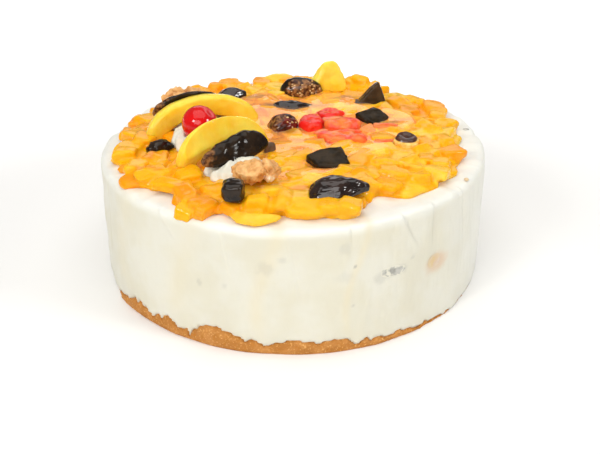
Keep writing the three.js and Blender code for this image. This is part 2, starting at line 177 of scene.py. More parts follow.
def dress(piece, slot, *nodes):
    """Lets a piece ride on the cake and stand for its solids. The slot is not used."""
    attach(piece, "root")
    if nodes:
        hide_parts(*nodes)
    return piece


def mark(piece, name, values):
    """Stores one number for each point, which a material reads."""
    layer = piece.data.attributes.new(name, "FLOAT", "POINT")
    layer.data.foreach_set("value", np.asarray(values, np.float32))


def of_each_point(piece, what):
    flat = np.zeros(len(piece.data.vertices) * 3)
    piece.data.vertices.foreach_get(what, flat)
    return flat.reshape(-1, 3)


def points_of(piece):
    return of_each_point(piece, "co") / MM


def normals_of(piece):
    return of_each_point(piece, "normal")


def search_tree(mesh):
    """A tree that finds the nearest place of a mesh, in millimetres."""
    points = [vertex.co / MM for vertex in mesh.vertices]
    return BVHTree.FromPolygons(points, [tuple(polygon.vertices) for polygon in mesh.polygons])


def move_points(piece, points):
    """Sets the points of a piece, none above the top of the solids."""
    points = np.array(points, float)
    points[:, 2] = np.minimum(points[:, 2], CAD_BOX[1][2] / MM)
    piece.data.vertices.foreach_set("co", (points * MM).ravel())
    piece.data.update()


def push(piece, amount):
    """Moves the skin out along its normals by an amount for each point, in millimetres."""
    move_points(piece, points_of(piece) + normals_of(piece) * np.asarray(amount)[:, None])


def volume_of(mesh):
    """Volume and area of a closed mesh, in metres."""
    body = bmesh.new()
    body.from_mesh(mesh)
    volume = body.calc_volume()
    area = sum(face.calc_area() for face in body.faces)
    body.free()
    return volume, area


def evened(mesh, voxel, rounds, relax):
    """A copy of a mesh, rounded off, with even small faces, and relaxed."""
    rough = bpy.data.objects.new("rough", mesh)
    bpy.context.scene.collection.objects.link(rough)
    if rounds:
        rough.modifiers.new("rounds", "SUBSURF").levels = rounds
    even = rough.modifiers.new("even", "REMESH")
    even.mode = "VOXEL"
    even.voxel_size = voxel * MM
    ease = rough.modifiers.new("ease", "SMOOTH")
    ease.factor = 0.5
    ease.iterations = relax
    graph = bpy.context.evaluated_depsgraph_get()
    fine = bpy.data.meshes.new_from_object(rough.evaluated_get(graph))
    bpy.data.objects.remove(rough)
    return fine


def refined(node, name, material, voxel=0.5, rounds=2, relax=6, crisp=0.0):
    """A finer copy of a solid, brought back to its volume. Crisp keeps the sharp edges, from 0 to 1."""
    mesh = NODES[node].data.copy()
    mesh.materials.clear()
    body = bmesh.new()
    body.from_mesh(mesh)
    bmesh.ops.remove_doubles(body, verts=body.verts, dist=WELD * MM)
    if crisp:
        layer = body.edges.layers.float.new("crease_edge")
        for edge in body.edges:
            edge[layer] = crisp if edge.calc_face_angle(0.0) > SHARP_ANGLE else 0.0
    body.to_mesh(mesh)
    body.free()
    whole = volume_of(mesh)[0]
    fine = evened(mesh, voxel, rounds, relax)
    volume, area = volume_of(fine)
    piece = mesh_piece(name, fine, material)
    push(piece, np.full(len(fine.vertices), (whole - volume) / area / MM))
    return piece


def softened(mesh, values, rounds):
    """Values at the points, averaged over their neighbours a number of times."""
    pairs = np.zeros(len(mesh.edges) * 2, np.int32)
    mesh.edges.foreach_get("vertices", pairs)
    first, second = pairs.reshape(-1, 2).T
    size = len(mesh.vertices)
    count = np.maximum(np.bincount(first, minlength=size) + np.bincount(second, minlength=size), 1)
    values = np.asarray(values, float)
    for _ in range(rounds):
        total = np.bincount(first, values[second], size) + np.bincount(second, values[first], size)
        values = 0.5 * values + 0.5 * total / count
    return values


# Marks of the two points on the axis that close a turned body
POLE_MARKS = (0, 0)


def ring_faces(rows, columns):
    """Quads between rows of points that close round the cake."""
    index = np.arange(rows * columns).reshape(rows, columns)
    after = np.roll(index, -1, axis=1)
    quads = np.stack([index[:-1], after[:-1], after[1:], index[1:]], axis=-1)
    return quads.reshape(-1, 4).tolist()


def turned(radius, height, degrees):
    """Points and faces of a body turned about Z, closed by a point on the axis at both ends."""
    rows, columns = radius.shape
    rim = round_points(radius, degrees, height)
    poles = np.array([[0, 0, height[0].mean()], [0, 0, height[-1].mean()]])
    faces = ring_faces(rows, columns)
    first, last = rows * columns, rows * columns + 1
    top = (rows - 1) * columns
    for column in range(columns):
        after = (column + 1) % columns
        faces.append((first, after, column))
        faces.append((last, top + column, top + after))
    return np.vstack([rim, poles]), faces


# Shader building

def shader_node(tree, kind, inputs, **settings):
    """A new node. Each input is given a value, or a socket to link from."""
    made = tree.nodes.new(kind)
    for key, value in settings.items():
        setattr(made, key, value)
    for key, value in inputs.items():
        if isinstance(value, bpy.types.NodeSocket):
            tree.links.new(value, made.inputs[key])
        else:
            made.inputs[key].default_value = value
    return made


def node_group(name, inputs, outputs):
    """An empty shader group with named sockets: inputs as name, kind and value, outputs as name and kind."""
    group = bpy.data.node_groups.new(name, "ShaderNodeTree")
    for label, kind, value in inputs:
        socket = group.interface.new_socket(label, in_out="INPUT", socket_type=kind)
        socket.default_value = value
    for label, kind in outputs:
        group.interface.new_socket(label, in_out="OUTPUT", socket_type=kind)
    source = group.nodes.new("NodeGroupInput")
    sink = group.nodes.new("NodeGroupOutput")
    return group, source.outputs, sink.inputs


def object_noise(tree, scale, detail=3.0, stretch=None):
    """Noise in the cake's own space. Stretch scales the three axes first."""
    place = shader_node(tree, "ShaderNodeTexCoord", {}).outputs["Object"]
    if stretch is not None:
        mapping = shader_node(tree, "ShaderNodeMapping", {"Vector": place, "Scale": stretch})
        place = mapping.outputs["Vector"]
    made = shader_node(tree, "ShaderNodeTexNoise", {"Vector": place, "Scale": scale, "Detail": detail})
    return made.outputs["Fac"]


def ramp(tree, value, low, high):
    """Spreads a band of values over 0 to 1."""
    made = shader_node(
        tree, "ShaderNodeMapRange",
        {"Value": value, "From Min": low, "From Max": high},
        interpolation_type="SMOOTHSTEP",
    )
    return made.outputs["Result"]


def mixed_colour(tree, share, low, high, blend="MIX"):
    """One colour mixed into another. The numbers are the colour sockets of a Mix node."""
    inputs = {0: share, 6: low, 7: high}
    return shader_node(tree, "ShaderNodeMix", inputs, data_type="RGBA", blend_type=blend).outputs[2]


def mottle_group():
    """Two tones that run into each other in soft patches."""
    group, source, sink = node_group(
        "soft_mottle",
        [
            ("Scale", "NodeSocketFloat", 100.0),
            ("Low", "NodeSocketColor", (0.5, 0.5, 0.5, 1)),
            ("High", "NodeSocketColor", (1, 1, 1, 1)),
        ],
        [("Color", "NodeSocketColor"), ("Mask", "NodeSocketFloat")],
    )
    mask = ramp(group, object_noise(group, source["Scale"]), 0.36, 0.64)
    group.links.new(mixed_colour(group, mask, source["Low"], source["High"]), sink["Color"])
    group.links.new(mask, sink["Mask"])
    return group


def shine_group():
    """Roughness that changes between wet and dull patches."""
    group, source, sink = node_group(
        "wet_shine",
        [
            ("Scale", "NodeSocketFloat", 150.0),
            ("Wet", "NodeSocketFloat", 0.1),
            ("Dull", "NodeSocketFloat", 0.4),
        ],
        [("Roughness", "NodeSocketFloat")],
    )
    mask = ramp(group, object_noise(group, source["Scale"], 2.0), 0.4, 0.7)
    made = shader_node(
        group, "ShaderNodeMapRange",
        {"Value": mask, "To Min": source["Wet"], "To Max": source["Dull"]},
    )
    group.links.new(made.outputs["Result"], sink["Roughness"])
    return group


def grain_group():
    """Height of a fine grain over a coarser one."""
    group, source, sink = node_group(
        "fine_grain",
        [("Fine", "NodeSocketFloat", 1500.0), ("Coarse", "NodeSocketFloat", 300.0)],
        [("Height", "NodeSocketFloat")],
    )
    fine = object_noise(group, source["Fine"], 4.0)
    coarse = object_noise(group, source["Coarse"], 2.0)
    total = shader_node(group, "ShaderNodeMath", {0: fine, 1: 0.4, 2: coarse}, operation="MULTIPLY_ADD")
    group.links.new(total.outputs[0], sink["Height"])
    return group


MOTTLE = mottle_group()
SHINE = shine_group()
GRAIN = grain_group()


def use_group(tree, group, inputs):
    return shader_node(tree, "ShaderNodeGroup", inputs, node_tree=group).outputs


def two_tones(tree, scale, low, high):
    return use_group(tree, MOTTLE, {"Scale": scale, "Low": low, "High": high})["Color"]


def attribute(tree, name):
    return shader_node(tree, "ShaderNodeAttribute", {}, attribute_name=name).outputs["Fac"]


def bump(tree, height, distance):
    inputs = {"Height": height, "Distance": distance * MM, "Strength": 1.0}
    return shader_node(tree, "ShaderNodeBump", inputs).outputs["Normal"]


def finish(name, constants, shine=None, grain=None):
    """A new material with a Principled shader whose even values are set on its own sockets. Shine is the
    scale, the wet and the dull roughness. Grain is the fine and the coarse scale and the depth."""
    material = bpy.data.materials.new(name)
    material.use_nodes = True
    tree = material.node_tree
    skin = tree.nodes["Principled BSDF"].inputs
    for key, value in constants.items():
        skin[key].default_value = value
    if shine:
        made = use_group(tree, SHINE, dict(zip(("Scale", "Wet", "Dull"), shine)))
        tree.links.new(made["Roughness"], skin["Roughness"])
    if grain:
        made = use_group(tree, GRAIN, {"Fine": grain[0], "Coarse": grain[1]})
        tree.links.new(bump(tree, made["Height"], grain[2]), skin["Normal"])
    return material, tree, skin


def clear_flesh(weight, radius, depth):
    """Values for light that goes into the flesh and comes out again. The depth is in millimetres."""
    return {"Subsurface Weight": weight, "Subsurface Radius": radius, "Subsurface Scale": depth * MM}


# Materials

# Colours of the cream's marks: painted light that whitens the top, warm streaks, peach and fig that shine
# through
CREAM_MARKS = (
    ("pale", (0.84, 0.84, 0.775, 1)),
    ("butter", (0.77, 0.695, 0.50, 1)),
    ("blush", (0.72, 0.49, 0.315, 1)),
    ("veil", (0.375, 0.365, 0.33, 1)),
)


def cream_finish(name, low, high):
    """Whipped cream, with its marks."""
    even = {"Specular IOR Level": 0.35, **clear_flesh(0.25, (1.0, 0.9, 0.7), 1.2)}
    material, tree, skin = finish(name, even, (60.0, 0.42, 0.62), (900.0, 220.0, 0.12))
    colour = two_tones(tree, 45.0, low, high)
    # The pale mark is painted light: it whitens the top and the lit side of the wall.
    for label, tone in CREAM_MARKS:
        colour = mixed_colour(tree, attribute(tree, label), colour, tone)
    tree.links.new(colour, skin["Base Color"])
    return material


def biscuit_finish():
    """Baked biscuit with pale specks, and painted shade that darkens its hollows."""
    even = {"Specular IOR Level": 0.25}
    material, tree, skin = finish("baked_biscuit", even, (300.0, 0.7, 0.95), (2200.0, 700.0, 0.3))
    baked = two_tones(tree, 120.0, (0.475, 0.19, 0.038, 1), (0.57, 0.245, 0.062, 1))
    specks = ramp(tree, object_noise(tree, 1100.0, 4.0), 0.52, 0.75)
    pale = mixed_colour(tree, specks, baked, (0.80, 0.45, 0.15, 1))
    # Painted shade: the hollows of the crumb take a darker colour.
    dark = ramp(tree, attribute(tree, "hollow_shade"), 0.4, 1.0)
    tree.links.new(mixed_colour(tree, dark, pale, (0.52, 0.20, 0.035, 1)), skin["Base Color"])
    return material


# Colours that lie over the peach: painted shade deep in the gaps, red juice, deep glaze and dark juice beside
# the figs
GAP_SHADE_COLOUR = (0.90, 0.32, 0.008, 1)
STAIN_COLOUR = (0.95, 0.26, 0.03, 1)
AMBER_COLOUR = (0.74, 0.29, 0.015, 1)
STEEPED_COLOUR = (0.10, 0.06, 0.045, 1)


def peach_finish(name, deep, golden, pale, clear, depth):
    """Glazed peach flesh. The tone attribute picks each piece's own shade, and painted light on slices."""
    even = {
        "Specular IOR Level": 0.1,
        "Coat Weight": 0.3,
        "Coat Roughness": 0.03,
        **clear_flesh(clear, (1.0, 0.42, 0.05), depth),
    }
    material, tree, skin = finish(name, even, (160.0, 0.14, 0.38))
    tone = attribute(tree, "tone")
    warm = mixed_colour(tree, ramp(tree, tone, 0.0, 0.45), deep, golden)
    shade = mixed_colour(tree, ramp(tree, tone, 0.55, 1.0), warm, pale)
    patches = two_tones(tree, 130.0, (0.95, 0.88, 0.75, 1), (1, 1, 1, 1))
    colour = mixed_colour(tree, 0.8, shade, patches, "MULTIPLY")
    # The first cover is painted shade, a deeper colour in the gaps between pieces.
    for share, cover in (
        (ramp(tree, attribute(tree, "hollow_shade"), 0.1, 1.0), GAP_SHADE_COLOUR),
        (ramp(tree, attribute(tree, "stain"), 0.3, 0.9), STAIN_COLOUR),
        (attribute(tree, "amber"), AMBER_COLOUR),
        (attribute(tree, "steeped"), STEEPED_COLOUR),
    ):
        colour = mixed_colour(tree, share, colour, cover)
    tree.links.new(colour, skin["Base Color"])
    fibres = object_noise(tree, 420.0, 3.0, (1.0, 1.0, 0.3))
    tree.links.new(bump(tree, fibres, 0.2), skin["Normal"])
    return material


CUT_FLESH = ((0.05, 0.014, 0.006, 1), (0.30, 0.13, 0.04, 1))
PALE_RIND = ((0.90, 0.48, 0.06, 1), (0.96, 0.66, 0.22, 1))


def fig_finish(name, dark, brown, dull, coat, gloss=0.09, flesh=CUT_FLESH):
    """Candied fig: nearly black, with the flesh's two tones where the cut attribute marks it."""
    even = {"Specular IOR Level": 0.08, "Coat Weight": coat, "Coat Roughness": gloss}
    material, tree, skin = finish(name, even, (240.0, 0.12, dull), (1200.0, 420.0, 0.08))
    cut = ramp(tree, attribute(tree, "cut"), 0.2, 0.9)
    outer, inner = two_tones(tree, 190.0, dark, brown), two_tones(tree, 500.0, *flesh)
    tree.links.new(mixed_colour(tree, cut, outer, inner), skin["Base Color"])
    return material


def veiled_finish(name, dark, pale, scale):
    """Fruit in the cream's side. The smear attribute marks where cream is wiped thinly over it."""
    even = {"Specular IOR Level": 0.35}
    material, tree, skin = finish(name, even, (200.0, 0.4, 0.6), (900.0, 300.0, 0.12))
    fruit = two_tones(tree, scale, dark, pale)
    smeared = mixed_colour(tree, attribute(tree, "smear"), fruit, (0.772, 0.746, 0.63, 1))
    tree.links.new(smeared, skin["Base Color"])
    return material


def seed_finish():
    material, tree, skin = finish("fig_seed", {"Coat Weight": 0.7, "Coat Roughness": 0.1}, (500.0, 0.2, 0.4))
    colour = two_tones(tree, 600.0, (0.40, 0.19, 0.05, 1), (0.78, 0.52, 0.22, 1))
    tree.links.new(colour, skin["Base Color"])
    return material


def red_finish(name, deep, bright, scale, coat):
    """Candied red fruit, clear and glossy."""
    even = {
        "Specular IOR Level": 0.12,
        "Coat Weight": coat,
        "Coat Roughness": 0.03,
        **clear_flesh(0.35, (1.0, 0.16, 0.08), 3.5),
    }
    material, tree, skin = finish(name, even, (200.0, 0.12, 0.3), (700.0, 200.0, 0.12))
    tree.links.new(two_tones(tree, scale, deep, bright), skin["Base Color"])
    return material


def walnut_finish():
    """Walnut kernel: painted shade darkens its creases, pale where it is broken."""
    even = {"Specular IOR Level": 0.4, **clear_flesh(0.15, (1.0, 0.6, 0.3), 1.5)}
    material, tree, skin = finish("walnut_kernel", even, (240.0, 0.4, 0.65), (1600.0, 500.0, 0.2))
    kernel = two_tones(tree, 260.0, (0.72, 0.36, 0.11, 1), (0.84, 0.49, 0.19, 1))
    # Painted shade: the folds take a darker colour.
    fold_shade = ramp(tree, attribute(tree, "fold_shade"), 0.2, 0.9)
    folded = mixed_colour(tree, fold_shade, kernel, (0.50, 0.19, 0.04, 1))
    broken = ramp(tree, attribute(tree, "broken"), 0.35, 0.7)
    tree.links.new(mixed_colour(tree, broken, folded, (0.93, 0.76, 0.55, 1)), skin["Base Color"])
    return material


def gel_finish():
    """Clear setting glaze, which lets the lamps reach the fruit under it."""
    material, tree, skin = finish("clear_glaze", {
        "Base Color": (0.93, 0.855, 0.72, 1),
        "Roughness": 0.03,
        "IOR": 1.42,
        "Specular Tint": (1.0, 0.86, 0.62, 1),
        "Transmission Weight": 0.92,
    })
    ripple = object_noise(tree, 110.0, 2.0)
    tree.links.new(bump(tree, ripple, 0.2), skin["Normal"])
    clear = shader_node(tree, "ShaderNodeBsdfTransparent", {"Color": (1.0, 0.95, 0.82, 1)})
    lamp = shader_node(tree, "ShaderNodeLightPath", {}).outputs["Is Shadow Ray"]
    both = shader_node(tree, "ShaderNodeMixShader", {
        0: lamp, 1: tree.nodes["Principled BSDF"].outputs["BSDF"], 2: clear.outputs["BSDF"],
    })
    tree.links.new(both.outputs["Shader"], tree.nodes["Material Output"].inputs["Surface"])
    return material


CREAM = cream_finish("whipped_cream", (0.72, 0.69, 0.562, 1), (0.753, 0.735, 0.637, 1))
PIPED = cream_finish("piped_cream", (0.76, 0.73, 0.60, 1), (0.79, 0.765, 0.67, 1))
BISCUIT = biscuit_finish()
PEACH_TONES = ((0.95, 0.36, 0.005, 1), (0.98, 0.465, 0.006, 1), (1.0, 0.58, 0.045, 1))
SLICE_TONES = ((1.0, 0.44, 0.012, 1), (1.0, 0.605, 0.03, 1), (1.0, 0.73, 0.09, 1))
PEACH = peach_finish("glazed_peach", *PEACH_TONES, 0.45, 3.0)
ARCH = peach_finish("peach_slice", *SLICE_TONES, 0.5, 5.0)
BLACK_SKIN = ((0.010, 0.006, 0.004, 1), (0.026, 0.015, 0.008, 1))
DISC_SKIN = ((0.030, 0.012, 0.010, 1), (0.085, 0.035, 0.022, 1))
FIG = fig_finish("candied_fig", *BLACK_SKIN, 0.2, 0.5)
FIG_STRIP = fig_finish("fig_strip", *BLACK_SKIN, 0.3, 0.3, 0.16)
FIG_WET = fig_finish("wet_fig", (0.012, 0.007, 0.006, 1), (0.03, 0.016, 0.012, 1), 0.2, 1.0, 0.06)
FIG_CUT = fig_finish("cut_fig", (0.018, 0.012, 0.006, 1), (0.036, 0.022, 0.010, 1), 0.45, 0.12)
FIG_BROWN = fig_finish("brown_fig", (0.042, 0.024, 0.011, 1), (0.075, 0.042, 0.018, 1), 0.45, 0.12)
FIG_DULL = fig_finish("dull_fig", (0.13, 0.08, 0.05, 1), (0.22, 0.14, 0.09, 1), 0.5, 0.1)
FIG_RED = fig_finish("red_fig", (0.030, 0.008, 0.005, 1), (0.17, 0.018, 0.010, 1), 0.25, 0.5)
FIG_DISC = fig_finish("fig_slice", *DISC_SKIN, 0.2, 0.6, flesh=PALE_RIND)
VEILED_FIG = veiled_finish("veiled_fig", (0.33, 0.325, 0.295, 1), (0.55, 0.54, 0.49, 1), 330.0)
VEILED_PEACH = veiled_finish("veiled_peach", (0.73, 0.55, 0.30, 1), (0.715, 0.55, 0.43, 1), 160.0)
SEED = seed_finish()
RED = red_finish("red_candied_fruit", (0.82, 0.038, 0.011, 1), (0.80, 0.014, 0.009, 1), 150.0, 0.45)
RED_PALE = red_finish("pale_candied_fruit", (0.87, 0.22, 0.037, 1), (0.85, 0.075, 0.038, 1), 130.0, 0.5)
CHERRY = red_finish("candied_cherry", (0.60, 0.0025, 0.004, 1), (0.70, 0.006, 0.007, 1), 60.0, 0.6)
WALNUT = walnut_finish()
GEL = gel_finish()


# Cream body

# Broad bulges of the wall and rises of the rim: angle, height and half width
PANELS = (
    (309, -0.7, 7), (321, 0.5, 4), (286, 0.5, 6), (231, 0.6, 9), (192, 0.5, 8), (150, -0.5, 9), (70, 0.5, 10),
)
LIP = ((305, 1.0, 14), (258, -0.8, 12), (200, -0.8, 16), (20, 0.6, 15), (166, -2.2, 13))
# Places where a knife stroke ends in a low upright step: angle at the top, lean in degrees per millimetre
# down, depth, fade of the hollow beside it in degrees, and the height where the step runs out
KNIFE_STEPS = (
    (284.4, 0.03, 1.1, 1.6, 57), (298.9, 0.33, 1.2, 7, 50), (310.2, 0.0, 1.5, 13, 48),
    (323.8, 0.07, 1.2, 2.2, 38), (232, 0.43, -0.7, 2.5, 52), (268, 0.1, 0.4, 9, 30), (251, 0.1, 0.5, 6, 40),
    (205, -0.1, 0.5, 8, 20), (345, 0.1, 0.9, 8, 30), (5, 0.2, 1.0, 4, 40), (20, 0.1, 0.9, 9, 25),
    (52, 0.2, 1.0, 5, 38), (75, -0.1, 0.8, 8, 30), (98, 0.1, 1.0, 3, 42), (120, 0.1, 0.8, 9, 20),
    (142, 0.3, 0.9, 6, 40), (165, 0.1, 0.8, 8, 30),
)
# Fruit that shines faintly through the cream: angle, height, half width, half height and strength
VEILED_SPOTS = (
    (263, 45, 4, 3.2, 0.18), (267, 50, 2, 1.4, 0.20), (244.6, 33, 1.4, 1.6, 0.24),
    (252, 33.5, 1.4, 1.0, 0.18), (283.1, 53.5, 2.8, 3.6, 0.18), (283.3, 39, 5, 2.5, 0.12),
    (285.8, 43.8, 0.7, 0.7, 0.7), (285.6, 24, 0.8, 0.6, 0.35), (293.3, 35.4, 4.2, 2.6, 0.26),
    (298.2, 37.6, 5.6, 2.8, 0.34), (303, 42, 1.2, 1.2, 0.25), (40, 40, 5, 3, 0.3), (95, 30, 4, 3, 0.3),
    (150, 44, 5, 3, 0.28), (345, 42, 4, 3, 0.3),
)
BLUSHED_SPOTS = ((312.6, 33.0, 7.6, 5.2, 0.62), (130, 38, 6, 4, 0.5), (60, 30, 5, 4, 0.4))
# Warm streaks down the wall: angle, half width and strength
WARM_STREAKS = (
    (263, 2.2, 0.5), (240, 3.5, 0.3), (215, 4, 0.3), (286.5, 1.2, 0.5), (110, 4, 0.4), (30, 4, 0.35),
)
# Where painted light makes the wall whiter on its lit right side: angle, strength and half width
PAINTED_LIGHT_SIDE = ((346, 0.9, 23),)
# Where the shoulder is squarer: angle, amount and half width
SQUARE_PLACES = ((298, 0.38, 26), (20, 0.3, 25), (110, 0.3, 25))
# Height of the cream's foot, how far inside the wall it starts, and where the rings of its top end
CREAM_FOOT, FOOT_INSIDE, TOP_RING = 0.4, 30, 55
# Depths of the marks in the cream
STROKE_DEPTH, DRAG_DEPTH, LUMP_DEPTH, PIT_DEPTH, TUCK_DEPTH = 0.30, 0.10, 0.30, 2.2, 1.8


def knife_steps(degrees, height):
    """Depth of the steps at each place on the wall."""
    total = np.zeros_like(degrees)
    for at, lean, depth, fade, runs_out in KNIFE_STEPS:
        away = turn_from(at, degrees - lean * (CREAM_TOP - height))
        shown = step(runs_out - 6, runs_out + 6, height)
        total -= shown * depth * step(-0.35, 0.35, away) * np.exp(-np.clip(away, 0, None) / fade)
    return total


def wall_spots(spots, degrees, height, ragged):
    """How strongly each place on the wall shows the fruit behind it. The edges of the spots are ragged."""
    total = np.zeros_like(degrees)
    for at, up, wide, tall, strength in spots:
        across = np.radians(turn_from(at, degrees)) * CAKE_RADIUS
        away = np.sqrt((across / wide) ** 2 + ((height - up) / tall) ** 2) + 0.45 * ragged
        total = np.maximum(total, strength * step(1.35, 0.45, away))
    return total


def warm_streaks(degrees, height):
    """How buttery each place on the wall is."""
    total = np.zeros_like(degrees)
    for at, wide, strength in WARM_STREAKS:
        away = turn_from(at, degrees + 3 * np.sin(height / 14))
        total = np.maximum(total, strength * np.exp(-((away / wide) ** 2)) * step(2, 20, height))
    return total


def crisp_shoulder(degrees):
    """How square the shoulder is: sharp at the right front, rounder elsewhere."""
    return 0.78 - bumps(SQUARE_PLACES, degrees)


def wall_bulge(degrees, share):
    """How far the wall stands out, at a share of its height."""
    angle = np.radians(degrees)
    waves = 0.25 * np.sin(3 * angle + 0.4) + 0.2 * np.sin(8 * angle + 2)
    return waves + bumps(PANELS, degrees) * np.sin(math.pi * np.minimum(1, 0.25 + share))


def cream_body():
    """The cream with its knife strokes, drag marks and small pits."""
    columns, wall_rows, bend_rows, top_rows = 900, 48, 12, 12
    degrees = np.arange(columns) * 360 / columns
    wall_top = CREAM_TOP - SHOULDER
    bend = np.linspace(0, math.pi / 2, bend_rows + 1)[1:]
    radius = np.concatenate([
        [WALL_RADIUS - FOOT_INSIDE],
        np.full(wall_rows, WALL_RADIUS),
        WALL_RADIUS - SHOULDER * (1 - np.cos(bend)),
        np.linspace(WALL_RADIUS - SHOULDER, TOP_RING, top_rows + 1)[1:],
    ])
    height = np.concatenate([
        [CREAM_FOOT],
        np.linspace(CREAM_FOOT, wall_top, wall_rows),
        wall_top + SHOULDER * np.sin(bend),
        np.full(top_rows, CREAM_TOP),
    ])
    around, up = np.meshgrid(degrees, height)
    out = np.repeat(radius[:, None], columns, axis=1)
    square = crisp_shoulder(degrees)[None, :]
    bent = slice(1 + wall_rows, 1 + wall_rows + bend_rows)
    out[bent] = WALL_RADIUS - SHOULDER * (1 - np.cos(bend)[:, None].clip(1e-6) ** square)
    up[bent] = wall_top + SHOULDER * np.sin(bend)[:, None] ** square
    ring = round_points(CAKE_RADIUS, around, up)
    strokes = noise_at(ring * (1, 1, 0.22), 9.0, 3, 3.1).reshape(up.shape)
    drags = noise_at(ring * (1, 1, 0.5), 3.2, 2, 8.4).reshape(up.shape)
    lumps = noise_at(ring, 16.0, 2, 5.2).reshape(up.shape)
    pits = np.clip(0.16 - cells_at(ring, 7.5, 2.2), 0, None).reshape(up.shape)
    edge = step(WALL_RADIUS - 12, WALL_RADIUS - SHOULDER, out)
    share = up / CREAM_TOP
    relief = wall_bulge(around, share) + knife_steps(around, up)
    relief += STROKE_DEPTH * strokes + DRAG_DEPTH * drags + LUMP_DEPTH * lumps - PIT_DEPTH * pits
    tucked = TUCK_DEPTH * step(0.4, -0.6, up - showing_height(around))
    inward = np.clip(out + edge * (relief - tucked), 0, WIDEST)
    top = step(0.9, 0.97, share)
    rise = up + top * (edge * bumps(LIP, around) + 0.8 * lumps + 0.1 * drags)
    points, faces = turned(inward, rise, degrees)
    piece = mesh_object("cream_body_piece", points, faces, CREAM)
    ragged = noise_at(ring, 2.6, 3, 12.0).reshape(up.shape)
    marks = {
        "veil": wall_spots(VEILED_SPOTS, around, up, ragged),
        "blush": wall_spots(BLUSHED_SPOTS, around, up, 0.3 * ragged),
        "butter": warm_streaks(around, up),
        # Painted light on the top and the lit side.
        "pale": np.maximum(step(0.91, 0.995, share), bumps(PAINTED_LIGHT_SIDE, around)),
    }
    for label, values in marks.items():
        mark(piece, label, np.append(values.ravel(), POLE_MARKS))
    return dress(piece, "cream", "cream_body")


# Biscuit base

# High and low places of the biscuit's edge, and where it spreads: angle, height and half width
CRAGS = (
    (247, 4.2, 4), (231, 2.2, 3), (219, 2.6, 4), (239, -2.4, 3), (263, -2.6, 2.5), (287, -1.8, 2),
    (64, 3, 5), (92, 2, 3), (108, -2, 3),
)
FLARES = ((212, 1.4, 9), (250, 0.7, 8), (40, 1.1, 12))


def edge_height(degrees):
    """Height of the baked edge."""
    angle = np.radians(degrees)
    ragged = 0.5 * np.sin(23 * angle + 0.7) + 0.4 * np.sin(37 * angle + 2.1)
    sweep = 2.6 * np.cos(2 * np.radians(degrees - 258))
    return np.maximum(1.2, 4.2 + sweep + bumps(CRAGS, degrees) + ragged)


def base_flare(degrees):
    """How far the edge spreads."""
    angle = np.radians(degrees)
    return 1.2 + 0.25 * np.sin(17 * angle + 1.3) + 0.2 * np.sin(31 * angle) + bumps(FLARES, degrees)


# Narrow teeth of cream that hang over the biscuit: angle, depth and half width
TEETH = (
    (240.5, -3.5, 0.45), (242.6, -1.6, 0.5), (236.5, -2.0, 0.6), (230.5, -3.0, 0.6), (227, -2.2, 0.5),
    (219.5, -2.4, 0.6), (223, -1.8, 0.5), (214, -2.0, 0.7), (257, -1.0, 0.6), (262, -1.0, 0.4),
    (287, -1.2, 1.0), (291, -1.8, 0.6), (70, -3.0, 0.7), (77, -2.2, 0.6), (85, -2.6, 0.7), (99, -2.4, 0.6),
    (133, -2, 0.7), (146, -2.2, 0.6),
)
# Where the cream reaches down over the biscuit: angle, depth and half width
COVERED = (
    (314, -2.4, 10), (350, -4.5, 18), (328, -1.6, 8), (298, -1.9, 8), (202, -3.6, 11), (186, -5.0, 12),
)
# The biscuit's seat under the cream and its rim, as radii, and the heights of its seat and its edge
BISCUIT_SEAT, BISCUIT_RIM = 92.0, 98.6
SEAT_HEIGHT, LOWEST_EDGE, HIGHEST_EDGE = 5.0, 0.25, 9.9
CRUMB_DEPTH, GRIT_DEPTH = 0.4, 0.16


def showing_height(degrees):
    """How far up the biscuit shows."""
    angle = np.radians(degrees)
    fine = 0.35 * np.sin(71 * angle + 1.0) + 0.3 * np.sin(113 * angle + 0.3)
    return edge_height(degrees) + bumps(TEETH, degrees) + bumps(COVERED, degrees) + fine


def biscuit_base():
    """The biscuit layer with crumb relief on its showing edge."""
    columns, rim_rows = 1440, 16
    degrees = np.arange(columns) * 360 / columns
    tooth = noise_at(round_points(CAKE_RADIUS, degrees, 0.0), 2.5, 3, 4.4)
    edge = np.clip(showing_height(degrees) + 0.8 * tooth, LOWEST_EDGE, HIGHEST_EDGE)
    share = np.linspace(0, 1, rim_rows)[:, None]
    belly = np.sin(math.pi * np.clip(0.15 + 0.85 * share, 0, 1)) ** 0.6
    rim = BISCUIT_RIM + (0.4 + 0.75 * base_flare(degrees)[None, :]) * belly
    hidden = step(1.0, 3.6, -bumps(COVERED, degrees))
    rim = rim - 1.0 * step(0.8, 1.0, share) - 1.7 * hidden[None, :]
    up = share * edge[None, :]
    seat = np.full((1, columns), BISCUIT_SEAT)
    radius = np.vstack([seat, rim, seat + 3, seat])
    height = np.vstack([0 * seat, up, edge[None, :] * 0.8, 0 * seat + SEAT_HEIGHT])
    spots = round_points(radius, degrees, height)
    lumps = noise_at(spots * (1, 1, 1.6), 2.2, 3, 1.3)
    grit = noise_at(spots, 0.9, 2, 6.0)
    push_out = (CRUMB_DEPTH * lumps + GRIT_DEPTH * grit).reshape(radius.shape)
    showing = np.zeros_like(radius)
    showing[2:rim_rows + 1] = 1
    radius = np.minimum(radius + showing * push_out, WIDEST)
    # Painted shade where the crumb dips between its lumps.
    hollow_shade = np.clip(0.25 - 0.9 * lumps - 0.5 * grit, 0, 1)
    points, faces = turned(radius, height, degrees)
    piece = mesh_object("biscuit_base_piece", points, faces, BISCUIT)
    mark(piece, "hollow_shade", np.append(hollow_shade, POLE_MARKS))
    return dress(piece, "biscuit", "biscuit_base")


# Heap of chopped peach

